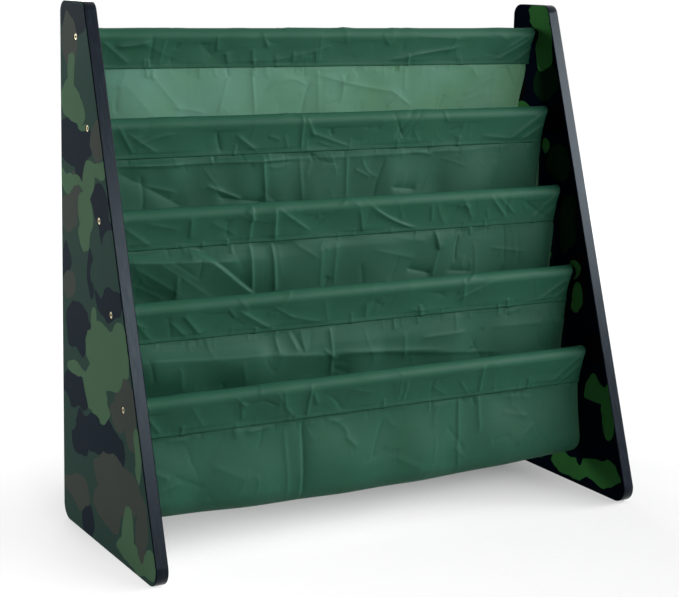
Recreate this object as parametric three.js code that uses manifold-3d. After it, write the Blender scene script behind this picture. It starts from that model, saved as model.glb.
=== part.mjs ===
// A child's sling bookshelf: two sloping side panels, five cross rods screwed between them,
// and a sewn cloth sling whose sleeves slide over the rods and hang as four book pockets.
// Millimetres, +Z up, origin on the floor under the middle of the shelf, front towards -Y.

import * as THREE from "three";
import { mergeVertices } from "three/addons/utils/BufferGeometryUtils.js";
import Module from "manifold-3d";

const wasm = await Module();
wasm.setup();

// Overall sizes
const shelfWidth = 648;
const shelfDepth = 272;
const shelfHeight = 610;

// Side panels
const panelThickness = 15;
const panelTopDepth = 72;
const topCornerRadius = 14;
const bottomCornerRadius = 18;
const panelEdgeEase = 1.2;

// Cross rods
const rodCount = 5;
const rodDiameter = 18;
const rodEndChamfer = 0.8;
const topRodDrop = 39.6;
const bottomRodHeight = 175;
const rodSetback = 38;

// Screws, driven through the panels into the rod ends
const screwLength = 50;
const screwHeadDiameter = 8.4;
const screwHeadLip = 0.8;
const screwHeadTaper = 2.6;
const screwShoulderDiameter = 5.4;
const screwShoulderLength = 10;
const screwThreadDiameter = 4.8;
const screwTipDiameter = 3;
const screwTipLength = 6;
const screwRecess = 0.4;
const socketAcrossFlats = 4;
const socketDepth = 2.2;

// Sling sleeves
const sleeveThickness = 0.6;
const sleeveEndGap = 9;
const sleeveSeamDrop = 36.1;
const sleeveSlack = 1.1;

// Sling pockets
const pocketThickness = 0.8;
const pocketDrop = 130;
const pocketBendDepth = 22;
const pocketEndLift = 8;
const pocketTuck = 6;
const backDrawIn = 9;
const frontDrawIn = 3;
const innerBulge = 5;
const lastBulge = 13;
const wallSpread = 1.6;
const backReturn = 3;

// Folds of the hanging walls
const foldCount = 5;
const foldDepth = 2;
const foldOnset = 60;
const cornerPullDepth = 2.4;
const cornerPullWidth = 24;
const cornerPullReach = 110;
const cornerPullSlopeShare = 0.75;
const foldPhaseShare = 0.37;

// Clearances
const fitGap = 0.3;
const cutOverrun = 2;

// Fineness of the curved faces
const cornerSegments = 6;
const easeSegments = 2;
const roundSegments = 24;
const screwSegments = 16;
const sleeveArcSegments = 8;
const sleeveSideRows = 3;
const sleeveColumns = 8;
const pocketColumns = 22;
const backRows = 5;
const bendRows = 6;
const frontRows = 3;

// Places that follow from the sizes
const innerWidth = shelfWidth - 2 * panelThickness;
const rodRadius = rodDiameter / 2;
const rodPitch = (shelfHeight - topRodDrop - bottomRodHeight) / (rodCount - 1);
const sleeveHalfWidth = innerWidth / 2 - sleeveEndGap;
const wallOffset = (pocketThickness + fitGap) / 2;
const sleeveSeamOffset = wallOffset + pocketThickness / 2 + fitGap + sleeveThickness / 2;
const frontWallDrop = pocketDrop - sleeveSeamDrop - pocketBendDepth;
const backWallDrop = frontWallDrop + rodPitch;

const boardPaint = new THREE.MeshStandardMaterial({ color: 0x2f4640, roughness: 0.55 });
const rodPaint = new THREE.MeshStandardMaterial({ color: 0x1b1e28, roughness: 0.5 });
const screwBrass = new THREE.MeshStandardMaterial({
  color: 0xa98a4b,
  roughness: 0.35,
  metalness: 1,
});
const sleeveCloth = new THREE.MeshStandardMaterial({ color: 0x2b5444, roughness: 0.75 });
const pocketCloth = new THREE.MeshStandardMaterial({ color: 0x3a6b57, roughness: 0.75 });

/** How far a panel's sharp front foot corner would stand ahead of its rounded one. */
function footCornerExcess() {
  const run = shelfDepth - panelTopDepth - bottomCornerRadius;
  const rise = Math.sqrt(run ** 2 + shelfHeight * (shelfHeight - 2 * bottomCornerRadius));
  const halfAngleTangent = (rise - run) / shelfHeight;
  return bottomCornerRadius / halfAngleTangent - bottomCornerRadius;
}

/** Depth of the panel's sloping front edge at a height. */
function frontEdgeY(z) {
  const foot = -shelfDepth / 2 - footCornerExcess();
  const top = shelfDepth / 2 - panelTopDepth;
  return foot + ((top - foot) * z) / shelfHeight;
}

/** Centre line of each cross rod, from the top one down. */
const rodCentres = Array.from({ length: rodCount }, (_, index) => {
  const z = shelfHeight - topRodDrop - index * rodPitch;
  return { y: frontEdgeY(z) + rodSetback, z };
});

/** Turns a geometry whose own x, y, z point along the shelf's Y, Z, X. */
function standOnSide(geometry) {
  const basis = new THREE.Matrix4().makeBasis(
    new THREE.Vector3(0, 1, 0),
    new THREE.Vector3(0, 0, 1),
    new THREE.Vector3(1, 0, 0),
  );
  return geometry.applyMatrix4(basis);
}

/** Makes a solid that can be cut from a closed geometry. */
function toSolid(geometry) {
  const bare = geometry.clone();
  bare.deleteAttribute("normal");
  bare.deleteAttribute("uv");
  const merged = mergeVertices(bare);
  const mesh = new wasm.Mesh({
    numProp: 3,
    vertProperties: new Float32Array(merged.attributes.position.array),
    triVerts: new Uint32Array(merged.index.array),
  });
  return new wasm.Manifold(mesh);
}

/** Makes a geometry from a solid. */
function toGeometry(solid) {
  const mesh = solid.getMesh();
  const geometry = new THREE.BufferGeometry();
  geometry.setAttribute("position", new THREE.BufferAttribute(mesh.vertProperties, mesh.numProp));
  geometry.setIndex(new THREE.BufferAttribute(mesh.triVerts, 1));
  geometry.computeVertexNormals();
  return geometry;
}

/** A closed outline with each corner rounded to its own radius. */
function roundedOutline(corners) {
  const shape = new THREE.Shape();
  corners.forEach((corner, index) => {
    const before = corners[(index + corners.length - 1) % corners.length].at;
    const after = corners[(index + 1) % corners.length].at;
    const towardsBefore = before.clone().sub(corner.at).normalize();
    const towardsAfter = after.clone().sub(corner.at).normalize();
    const halfAngle = Math.acos(towardsBefore.dot(towardsAfter)) / 2;
    const tangent = corner.radius / Math.tan(halfAngle);
    const middle = towardsBefore.clone().add(towardsAfter).normalize();
    const centre = corner.at.clone().addScaledVector(middle, corner.radius / Math.sin(halfAngle));
    const start = corner.at.clone().addScaledVector(towardsBefore, tangent).sub(centre);
    const end = corner.at.clone().addScaledVector(towardsAfter, tangent).sub(centre);
    shape.absarc(centre.x, centre.y, corner.radius, start.angle(), end.angle(), false);
  });
  return shape;
}

/** Side outline of a panel in depth and height. */
function panelOutline() {
  const front = frontEdgeY(0);
  const back = shelfDepth / 2;
  const corners = [
    { at: new THREE.Vector2(front, 0), radius: bottomCornerRadius },
    { at: new THREE.Vector2(back, 0), radius: bottomCornerRadius },
    { at: new THREE.Vector2(back, shelfHeight), radius: topCornerRadius },
    { at: new THREE.Vector2(frontEdgeY(shelfHeight), shelfHeight), radius: topCornerRadius },
  ];
  return roundedOutline(corners);
}

/** A screw's outline as radius and distance from its head, grown by a clearance. */
function screwProfile(clearance) {
  const head = screwHeadDiameter / 2 + clearance;
  const shoulder = screwShoulderDiameter / 2 + clearance;
  const taperEnd = screwHeadLip + screwHeadTaper;
  return { head, shoulder, taperEnd };
}

/** Cutter for one screw hole, entering a panel's outer face at x = 0 towards +x. */
function screwHoleCutter() {
  const { head, shoulder, taperEnd } = screwProfile(fitGap);
  const faceRecess = screwRecess + screwHeadLip;
  const points = [
    new THREE.Vector2(0, -cutOverrun),
    new THREE.Vector2(head, -cutOverrun),
    new THREE.Vector2(head, faceRecess),
    new THREE.Vector2(shoulder, screwRecess + taperEnd),
    new THREE.Vector2(shoulder, panelThickness + cutOverrun),
    new THREE.Vector2(0, panelThickness + cutOverrun),
  ];
  return new THREE.LatheGeometry(points, screwSegments).rotateZ(-Math.PI / 2);
}

/** A side panel with its screw holes, its inner face towards the shelf's middle. */
function makePanel(side) {
  const blank = new THREE.ExtrudeGeometry(panelOutline(), {
    depth: panelThickness - 2 * panelEdgeEase,
    curveSegments: cornerSegments,
    bevelEnabled: true,
    bevelThickness: panelEdgeEase,
    bevelSize: panelEdgeEase,
    bevelOffset: -panelEdgeEase,
    bevelSegments: easeSegments,
  });
  blank.translate(0, 0, panelEdgeEase);
  standOnSide(blank);
  const outer = shelfWidth / 2;
  blank.translate(side < 0 ? -outer : innerWidth / 2, 0, 0);
  let solid = toSolid(blank);
  for (const centre of rodCentres) {
    const cutter = screwHoleCutter();
    if (side > 0) cutter.rotateZ(Math.PI);
    cutter.translate(side * outer, centre.y, centre.z);
    solid = solid.subtract(toSolid(cutter));
  }
  return toGeometry(solid);
}

/** A cross rod with a screw bore in each end. */
function makeRod() {
  const half = innerWidth / 2;
  const bore = screwShoulderDiameter / 2 + fitGap;
  const boreEnd = half - (screwLength + screwRecess + fitGap - panelThickness);
  const points = [
    new THREE.Vector2(0, -boreEnd),
    new THREE.Vector2(bore, -boreEnd),
    new THREE.Vector2(bore, -half),
    new THREE.Vector2(rodRadius - rodEndChamfer, -half),
    new THREE.Vector2(rodRadius, -half + rodEndChamfer),
    new THREE.Vector2(rodRadius, half - rodEndChamfer),
    new THREE.Vector2(rodRadius - rodEndChamfer, half),
    new THREE.Vector2(bore, half),
    new THREE.Vector2(bore, boreEnd),
    new THREE.Vector2(0, boreEnd),
  ];
  return new THREE.LatheGeometry(points, roundSegments).rotateZ(-Math.PI / 2);
}

/** A countersunk connecting screw, its head at x = 0 and its tip towards +x. */
function makeScrew() {
  const { head, shoulder, taperEnd } = screwProfile(0);
  const shoulderEnd = taperEnd + screwShoulderLength;
  const thread = screwThreadDiameter / 2;
  const points = [
    new THREE.Vector2(0, 0),
    new THREE.Vector2(head, 0),
    new THREE.Vector2(head, screwHeadLip),
    new THREE.Vector2(shoulder, taperEnd),
    new THREE.Vector2(shoulder, shoulderEnd),
    new THREE.Vector2(thread, shoulderEnd),
    new THREE.Vector2(thread, screwLength - screwTipLength),
    new THREE.Vector2(screwTipDiameter / 2, screwLength),
    new THREE.Vector2(0, screwLength),
  ];
  const body = new THREE.LatheGeometry(points, screwSegments).rotateZ(-Math.PI / 2);
  const socketRadius = socketAcrossFlats / Math.sqrt(3);
  const socket = new THREE.CylinderGeometry(socketRadius, socketRadius, socketDepth * 2, 6);
  socket.rotateZ(-Math.PI / 2);
  return toGeometry(toSolid(body).subtract(toSolid(socket)));
}

/** A closed sheet of even thickness around a grid of points, rows[i][j]. */
function makeSheet(rows, thickness) {
  const rowCount = rows.length;
  const columnCount = rows[0].length;
  const last = rowCount * columnCount;
  const outer = [];
  const inner = [];
  rows.forEach((row, i) => {
    row.forEach((point, j) => {
      const alongRows = rows[Math.min(i + 1, rowCount - 1)][j]
        .clone()
        .sub(rows[Math.max(i - 1, 0)][j]);
      const alongColumns = row[Math.min(j + 1, columnCount - 1)]
        .clone()
        .sub(row[Math.max(j - 1, 0)]);
      const normal = alongRows.cross(alongColumns).normalize();
      outer.push(point.clone().addScaledVector(normal, thickness / 2));
      inner.push(point.clone().addScaledVector(normal, -thickness / 2));
    });
  });
  const at = (i, j) => i * columnCount + j;
  const faces = [];
  for (let i = 0; i + 1 < rowCount; i += 1) {
    for (let j = 0; j + 1 < columnCount; j += 1) {
      const [a, b, c, d] = [at(i, j), at(i + 1, j), at(i + 1, j + 1), at(i, j + 1)];
      faces.push(a, b, c, a, c, d);
      faces.push(last + a, last + c, last + b, last + a, last + d, last + c);
    }
  }
  const rim = [];
  for (let i = 0; i < rowCount - 1; i += 1) rim.push(at(i, 0));
  for (let j = 0; j < columnCount - 1; j += 1) rim.push(at(rowCount - 1, j));
  for (let i = rowCount - 1; i > 0; i -= 1) rim.push(at(i, columnCount - 1));
  for (let j = columnCount - 1; j > 0; j -= 1) rim.push(at(0, j));
  rim.forEach((from, index) => {
    const to = rim[(index + 1) % rim.length];
    faces.push(to, from, last + from, to, last + from, last + to);
  });
  const geometry = new THREE.BufferGeometry();
  geometry.setFromPoints([...outer, ...inner]);
  geometry.setIndex(faces);
  geometry.computeVertexNormals();
  return geometry;
}

/** How far a hanging wall stands forward of its rod's line, at a place and a drop below the seam. */
function hangForward(rodIndex, x, drop) {
  const isLast = rodIndex === rodCount - 1;
  const pushed = isLast ? lastBulge : innerBulge;
  const bulge = rodIndex === 0 ? 0 : pushed * THREE.MathUtils.smoothstep(drop, 0, frontWallDrop);
  const turns = (foldCount * x) / (2 * sleeveHalfWidth) + foldPhaseShare * rodIndex;
  const foldGrowth = THREE.MathUtils.smoothstep(drop, 0, foldOnset);
  const fold = foldDepth * foldGrowth * Math.cos(2 * Math.PI * turns);
  const inwards = sleeveHalfWidth - Math.abs(x);
  const offLine = drop - inwards * cornerPullSlopeShare;
  const pullFade = 1 - THREE.MathUtils.smoothstep(inwards, 0, cornerPullReach);
  const pull = cornerPullDepth * pullFade * Math.exp(-((offLine / cornerPullWidth) ** 2));
  return bulge + fold + pull * foldGrowth;
}

/** A point of a pocket's back wall, which hangs from the rod behind the pocket. */
function backWallPoint(index, share, drop) {
  const drawn = backDrawIn * THREE.MathUtils.smoothstep(drop, 0, foldOnset);
  const x = share * (sleeveHalfWidth - drawn);
  const centre = rodCentres[index];
  const eased = index === 0 ? 0 : backReturn;
  const returned = eased * THREE.MathUtils.smoothstep(drop, frontWallDrop, backWallDrop);
  const y = centre.y - wallOffset - hangForward(index, x, drop) + returned;
  return new THREE.Vector3(x, y, centre.z - sleeveSeamDrop - drop);
}

/** A point of a pocket's front wall, which hangs from the rod in front of the pocket. */
function frontWallPoint(index, share, drop) {
  const drawn = frontDrawIn * THREE.MathUtils.smoothstep(drop, 0, foldOnset);
  const x = share * (sleeveHalfWidth - drawn);
  const centre = rodCentres[index + 1];
  const spread = wallSpread * THREE.MathUtils.smoothstep(drop, 0, frontWallDrop);
  const y = centre.y + wallOffset + spread - hangForward(index + 1, x, drop);
  return new THREE.Vector3(x, y, centre.z - sleeveSeamDrop - drop);
}

/** A point of the round bend that joins a pocket's two walls at the bottom. */
function bendPoint(back, front, turn) {
  const middle = back.clone().add(front).multiplyScalar(0.5);
  const half = back.clone().sub(front).multiplyScalar(0.5);
  const point = middle.addScaledVector(half, Math.cos(turn));
  point.z -= pocketBendDepth * Math.sin(turn);
  return point;
}

/** One column of a pocket's cloth, from its back top edge round the bend to its front top edge. */
function pocketColumn(index, share) {
  const lift = pocketEndLift * share * share;
  const backEnd = backWallDrop - lift;
  const frontEnd = frontWallDrop - lift;
  const column = [backWallPoint(index, share, -pocketTuck)];
  for (let row = 0; row <= backRows; row += 1) {
    column.push(backWallPoint(index, share, (backEnd * row) / backRows));
  }
  const back = backWallPoint(index, share, backEnd);
  const front = frontWallPoint(index, share, frontEnd);
  for (let row = 1; row < bendRows; row += 1) {
    column.push(bendPoint(back, front, (Math.PI * row) / bendRows));
  }
  for (let row = frontRows; row >= 0; row -= 1) {
    column.push(frontWallPoint(index, share, (frontEnd * row) / frontRows));
  }
  column.push(frontWallPoint(index, share, -pocketTuck));
  return column;
}

/** A pocket of the sling, hung between two neighbouring rods. */
function makePocket(index) {
  const columns = [];
  for (let column = 0; column <= pocketColumns; column += 1) {
    const share = (2 * column) / pocketColumns - 1;
    columns.push(pocketColumn(index, share));
  }
  return makeSheet(columns, pocketThickness);
}

/** A sleeve's section in depth and height about its rod's centre, from the front seam over the rod. */
function sleeveSection() {
  const radius = rodRadius + fitGap + sleeveThickness / 2;
  const touch = Math.atan2(radius - sleeveSeamOffset, sleeveSeamDrop);
  const section = [];
  const side = [];
  const corner = new THREE.Vector2(-Math.cos(touch) * radius, -Math.sin(touch) * radius);
  const seam = new THREE.Vector2(-sleeveSeamOffset, -sleeveSeamDrop);
  for (let row = 0; row < sleeveSideRows; row += 1) {
    const share = row / sleeveSideRows;
    const point = seam.clone().lerp(corner, share);
    point.x += sleeveSlack * Math.sin(Math.PI * share);
    side.push(point);
  }
  section.push(...side);
  for (let row = 0; row <= sleeveArcSegments; row += 1) {
    const sweep = Math.PI + 2 * touch;
    const turn = Math.PI + touch - (sweep * row) / sleeveArcSegments;
    section.push(new THREE.Vector2(Math.cos(turn) * radius, Math.sin(turn) * radius));
  }
  for (const point of side.reverse()) section.push(new THREE.Vector2(-point.x, point.y));
  return section;
}

/** A sewn sleeve of the sling, open at its ends and along its seam. */
function makeSleeve(index) {
  const centre = rodCentres[index];
  const section = sleeveSection();
  const columns = [];
  for (let column = 0; column <= sleeveColumns; column += 1) {
    const x = sleeveHalfWidth * ((2 * column) / sleeveColumns - 1);
    columns.push(
      section.map((point) => new THREE.Vector3(x, centre.y + point.x, centre.z + point.y)),
    );
  }
  return makeSheet(columns, sleeveThickness);
}

/** Adds one named piece to a group. */
function addPiece(group, name, geometry, material) {
  const mesh = new THREE.Mesh(geometry, material.clone());
  mesh.name = name;
  group.add(mesh);
  return mesh;
}

/** The two panels, the rods between them and the screws that hold them. */
function makeFrame() {
  const frame = new THREE.Group();
  addPiece(frame, "left_side_panel", makePanel(-1), boardPaint);
  addPiece(frame, "right_side_panel", makePanel(1), boardPaint);
  rodCentres.forEach((centre, index) => {
    const rod = addPiece(frame, `rod_${index + 1}`, makeRod(), rodPaint);
    rod.position.set(0, centre.y, centre.z);
    const headX = shelfWidth / 2 - screwRecess;
    const left = addPiece(frame, `left_screw_${index + 1}`, makeScrew(), screwBrass);
    left.position.set(-headX, centre.y, centre.z);
    const right = addPiece(frame, `right_screw_${index + 1}`, makeScrew(), screwBrass);
    right.rotation.y = Math.PI;
    right.position.set(headX, centre.y, centre.z);
  });
  return frame;
}

/** The sewn cloth: a sleeve on each rod and a pocket between each two. */
function makeSling() {
  const sling = new THREE.Group();
  rodCentres.forEach((_, index) => {
    addPiece(sling, `sleeve_${index + 1}`, makeSleeve(index), sleeveCloth);
    if (index + 1 < rodCount) {
      addPiece(sling, `pocket_${index + 1}`, makePocket(index), pocketCloth);
    }
  });
  return sling;
}

const bookshelf = new THREE.Group();
bookshelf.add(makeFrame(), makeSling());

export default bookshelf;
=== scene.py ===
"""Sling bookshelf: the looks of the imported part, set up for a plain studio picture.

Two printed boards stand up five painted rods, held by ten brass screws. A sewn sling of thin
green cloth slides over the rods as sleeves and hangs between them as four book pockets.
Sizes are in millimetres unless a name says otherwise; meshes are made in metres.
"""

from __future__ import annotations

import logging
import math
from abc import ABC, abstractmethod
from dataclasses import dataclass, field
from enum import Enum, IntEnum
from typing import Any, Callable, Iterable, Sequence

import bmesh
import bpy
import numpy as np
from bmesh.types import BMEdge, BMesh, BMFace, BMVert
from bpy.types import Material, NodeSocket, NodeTree, Object
from mathutils import Matrix, Quaternion, Vector


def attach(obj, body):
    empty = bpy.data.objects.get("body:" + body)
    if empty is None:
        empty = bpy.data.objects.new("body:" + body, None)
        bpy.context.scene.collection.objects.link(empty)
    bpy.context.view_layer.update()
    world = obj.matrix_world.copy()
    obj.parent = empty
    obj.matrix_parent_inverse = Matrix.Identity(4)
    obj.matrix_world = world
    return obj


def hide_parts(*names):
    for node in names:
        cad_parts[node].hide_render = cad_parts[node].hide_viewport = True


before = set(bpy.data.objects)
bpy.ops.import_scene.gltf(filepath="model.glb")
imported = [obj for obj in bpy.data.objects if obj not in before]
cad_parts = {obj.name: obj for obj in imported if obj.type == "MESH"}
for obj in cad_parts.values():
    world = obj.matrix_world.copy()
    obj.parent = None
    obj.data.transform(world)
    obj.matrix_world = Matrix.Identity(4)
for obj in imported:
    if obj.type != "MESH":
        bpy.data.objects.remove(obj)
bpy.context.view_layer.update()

MM = 0.001
IMAGE_WIDTH = 679
Array = np.ndarray
log = logging.getLogger("bookshelf")


# Helpers for colours, nodes and meshes


def srgb(hex_code: str) -> tuple[float, float, float, float]:
    """Turns an sRGB hex colour into the linear colour that a socket takes.

    Args:
        hex_code: Six hex digits, red first.

    Returns:
        Linear red, green, blue and an alpha of 1.
    """
    linear = []
    for start in (0, 2, 4):
        value = int(hex_code[start : start + 2], 16) / 255
        linear.append(value / 12.92 if value <= 0.04045 else ((value + 0.055) / 1.055) ** 2.4)
    return (*linear, 1.0)


def add_node(
    tree: NodeTree, kind: str, inputs: dict[Any, Any] | None = None, output: int | str = 0,
    **settings: Any,
) -> NodeSocket | None:
    """Adds one shader node with its settings and its input values or links.

    Args:
        tree: The node tree that gets the node.
        kind: The node's type name, without its ShaderNode.
        inputs: Values or output sockets by input name or number.
        output: Name or number of the output that is handed back.
        **settings: The node's own properties.

    Returns:
        The named output, or None from a node that has no output.
    """
    node = tree.nodes.new(f"ShaderNode{kind}")
    for name, value in settings.items():
        setattr(node, name, value)
    for key, value in (inputs or {}).items():
        if isinstance(value, NodeSocket):
            tree.links.new(value, node.inputs[key])
        else:
            node.inputs[key].default_value = value
    return node.outputs[output] if node.outputs else None


def new_material(name: str) -> tuple[Material, NodeTree]:
    """Makes an empty node material.

    Args:
        name: The real material and finish.

    Returns:
        The material and its node tree.
    """
    material = bpy.data.materials.new(name)
    material.use_nodes = True
    material.node_tree.nodes.clear()
    return material, material.node_tree


def close_surface(tree: NodeTree, shader: NodeSocket) -> None:
    """Links a shader to the material's output."""
    add_node(tree, "OutputMaterial", {"Surface": shader})


def sees_room(tree: NodeTree) -> NodeSocket:
    """1 for the camera's own, mirrored and let-through rays, 0 for the rays that light pieces."""
    seen = add_node(tree, "LightPath", output="Is Camera Ray")
    for kind in ("Is Glossy Ray", "Is Transmission Ray"):
        other = add_node(tree, "LightPath", output=kind)
        seen = add_node(tree, "Math", {0: seen, 1: other}, operation="MAXIMUM")
    return seen


def new_piece(mesh_source: BMesh, name: str, materials: Sequence[Material]) -> Object:
    """Makes an object at the origin from a bmesh, and frees the bmesh.

    Args:
        mesh_source: The shape, in metres and in place.
        name: The piece's name.
        materials: Its materials, in slot order.

    Returns:
        The new object.
    """
    mesh = bpy.data.meshes.new(name)
    mesh_source.to_mesh(mesh)
    mesh_source.free()
    for material in materials:
        mesh.materials.append(material)
    piece = bpy.data.objects.new(name, mesh)
    bpy.context.scene.collection.objects.link(piece)
    return piece


def carve(piece: Object, cutter_source: BMesh) -> None:
    """Cuts a shape out of a piece and keeps the result as its mesh.

    Args:
        piece: The piece to cut.
        cutter_source: The closed shape to take away.
    """
    cutter = new_piece(cutter_source, f"{piece.name}_cutter", list(piece.data.materials))
    cut = piece.modifiers.new("cut", "BOOLEAN")
    cut.operation = "DIFFERENCE"
    cut.solver = "EXACT"
    cut.object = cutter
    evaluated = piece.evaluated_get(bpy.context.evaluated_depsgraph_get())
    whole = piece.data
    piece.data = bpy.data.meshes.new_from_object(evaluated)
    piece.modifiers.clear()
    piece.data.name = piece.name
    bpy.data.meshes.remove(whole)
    bpy.data.meshes.remove(cutter.data)


def shade(piece: Object, sharp_deg: float, flat_mm2: float = 1e9) -> None:
    """Shades a piece smooth, but for its large flats and its sharp edges.

    Args:
        piece: The piece to shade.
        sharp_deg: Edges that turn by more than this stay sharp.
        flat_mm2: Faces larger than this stay flat.
    """
    limit = flat_mm2 * MM * MM
    piece.data.set_sharp_from_angle(angle=math.radians(sharp_deg))
    for polygon in piece.data.polygons:
        polygon.use_smooth = polygon.area < limit


def declare(piece: Object, slot: str, *nodes: str) -> Object:
    """Lets a piece ride on the frame and hides the CAD nodes that it stands for."""
    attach(piece, "root")
    if nodes:
        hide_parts(*nodes)
    return piece


def smoothstep(value: Array, low: float, high: float) -> Array:
    """Eases from 0 at low to 1 at high."""
    share = np.clip((value - low) / (high - low), 0.0, 1.0)
    return share * share * (3.0 - 2.0 * share)


def lathe(
    source: BMesh, profile: Sequence[tuple[float, float]], start: Vector, steps: int,
    towards: float, slot: int = 0,
) -> None:
    """Spins a profile about a line along X and adds it to a bmesh as a closed shape.

    Args:
        source: The bmesh that gets the shape.
        profile: Distance along the line and radius of each point, in millimetres.
        start: Where the line starts, in metres.
        steps: How many facets go round.
        towards: 1 to run along +X, -1 along -X.
        slot: Material slot of the new faces.
    """
    verts = [
        source.verts.new(start + Vector((towards * along * MM, 0.0, radius * MM)))
        for along, radius in profile
    ]
    edges = [source.edges.new(pair) for pair in zip(verts, verts[1:])]
    before = set(source.faces)
    bmesh.ops.spin(
        source, geom=verts + edges, cent=start, axis=(1.0, 0.0, 0.0), dvec=(0.0, 0.0, 0.0),
        angle=2 * math.pi, steps=steps, use_merge=True, use_duplicate=False,
    )
    made = [face for face in source.faces if face not in before]
    points = list({vert for face in made for vert in face.verts})
    bmesh.ops.remove_doubles(source, verts=points, dist=1e-6)
    made = [face for face in source.faces if face not in before]
    for face in made:
        face.material_index = slot
    bmesh.ops.recalc_face_normals(source, faces=made)


def add_round_bar(source: BMesh, radius: float, length: float, middle: Vector, facets: int) -> None:
    """Adds a bar along X to a bmesh.

    Args:
        source: The bmesh that gets the bar.
        radius: Its radius over the corners, in millimetres.
        length: Its length in millimetres.
        middle: Its middle in metres.
        facets: How many sides it has.
    """
    bmesh.ops.create_cone(
        source, cap_ends=True, segments=facets, radius1=radius * MM, radius2=radius * MM,
        depth=length * MM, matrix=Matrix.Translation(middle) @ Matrix.Rotation(math.pi / 2, 4, "Y"),
    )


def pull_faces(source: BMesh, faces: Sequence[BMFace], by: tuple[float, float, float]) -> None:
    """Extrudes faces by a vector in metres."""
    grown = bmesh.ops.extrude_face_region(source, geom=faces)
    moved = [item for item in grown["geom"] if isinstance(item, BMVert)]
    bmesh.ops.translate(source, verts=moved, vec=by)


def ease_edges(source: BMesh, edges: Sequence[BMEdge], size: float, segments: int) -> None:
    """Rounds edges over by a size in millimetres."""
    bmesh.ops.bevel(
        source, geom=edges, offset=size * MM, offset_type="OFFSET", segments=segments,
        profile=0.5, affect="EDGES", material=-1,
    )


# The sizes that the part and this scene share


@dataclass(frozen=True)
class ShelfSizes:
    """Named sizes of the shelf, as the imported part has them."""

    width: float = 648.0
    depth: float = 272.0
    height: float = 610.0
    panel_thickness: float = 15.0
    panel_top_depth: float = 72.0
    top_corner: float = 14.0
    bottom_corner: float = 18.0
    rod_count: int = 5
    rod_radius: float = 9.0
    top_rod_drop: float = 39.6
    bottom_rod_height: float = 175.0
    rod_setback: float = 38.0

    @property
    def inner_half(self) -> float:
        """Distance from the middle to a panel's inner face."""
        return self.width / 2 - self.panel_thickness

    @property
    def foot_corner(self) -> float:
        """Y of the sharp front foot corner, before it is rounded."""
        run = self.depth - self.panel_top_depth - self.bottom_corner
        rise = math.hypot(run, math.sqrt(self.height * (self.height - 2 * self.bottom_corner)))
        half_tangent = (rise - run) / self.height
        return -self.depth / 2 - self.bottom_corner / half_tangent + self.bottom_corner

    def front_edge(self, z: float) -> float:
        """Y of the sloping front edge at a height."""
        top = self.depth / 2 - self.panel_top_depth
        return self.foot_corner + (top - self.foot_corner) * z / self.height

    def rod_centre(self, index: int) -> tuple[float, float]:
        """Y and Z of a rod, counted from 0 at the top."""
        span = self.height - self.top_rod_drop - self.bottom_rod_height
        z = self.height - self.top_rod_drop - index * span / (self.rod_count - 1)
        return self.front_edge(z) + self.rod_setback, z


SHELF = ShelfSizes()


# Finishes


class Ink(Enum):
    """Inks of the camouflage print."""

    OLIVE = 1
    GREEN = 2
    NAVY = 3
    BROWN = 4


# The same print's inks are set twice: lifted on the outward faces, which paints the pale sheen of
# their lacquer, and deepened on the faces that look at the sling, which paints the shade that falls
# on them there.
SHEEN_LIFTED_OUTER_INKS = {Ink.OLIVE: "4C6D52", Ink.GREEN: "2A443D", Ink.NAVY: "101F2A", Ink.BROWN: "424943"}
SHADE_DEEPENED_INNER_INKS = {Ink.OLIVE: "2C5C2E", Ink.GREEN: "0B2011", Ink.NAVY: "040B14", Ink.BROWN: "080A07"}

# Share of a half size over which neighbouring patches of one ink melt together.
PATCH_MELT = 0.22

Patch = tuple[float, float, float, float]
PrintLayer = tuple[Ink, tuple[Patch, ...]]

# Each patch is its middle in depth and height and its half sizes; later layers cover earlier ones.
OUTER_PRINT: tuple[PrintLayer, ...] = (
    (Ink.NAVY, (
        (94, 592, 42, 19), (92, 451, 56, 28), (82, 420, 18, 18), (18, 387, 25, 25),
        (0, 363, 21, 15), (46, 312, 12, 31), (-8, 288, 44, 19), (82, 241, 39, 29),
        (96, 166, 39, 23), (22, 128, 74, 24), (82, 106, 26, 20), (124, 312, 15, 21),
        (59, 20, 18, 21), (-36, 120, 15, 15),
    )),
    (Ink.BROWN, (
        (108, 563, 22, 33), (24, 457, 20, 24), (114, 371, 24, 25), (88, 388, 20, 14),
        (106, 406, 8, 12), (116, 284, 20, 17), (-50, 188, 30, 24), (-30, 168, 23, 19),
        (-66, 160, 21, 23), (-28, 86, 66, 31), (2, 51, 38, 25), (92, 44, 41, 19),
    )),
    (Ink.OLIVE, (
        (104, 532, 11, 18), (104, 499, 30, 24), (80, 489, 14, 15), (66, 472, 17, 4),
        (122, 406, 18, 12), (88, 407, 24, 7), (52, 411, 19, 20), (22, 425, 26, 10),
        (62, 376, 22, 25), (66, 352, 22, 16), (2, 226, 60, 36), (36, 178, 37, 27),
        (-38, 243, 25, 26), (89, 189, 30, 10), (10, 160, 17, 16), (36, 257, 12, 18),
        (-56, 226, 13, 18), (-88, 134, 11, 33), (-62, 43, 19, 27), (-78, 19, 55, 17),
        (-124, 29, 15, 10),
    )),
    (Ink.GREEN, ((22, 318, 20, 27), (-8, 347, 17, 22), (32, 353, 10, 15))),
    (Ink.BROWN, ((-98, 57, 15, 38),)),
)
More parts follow.
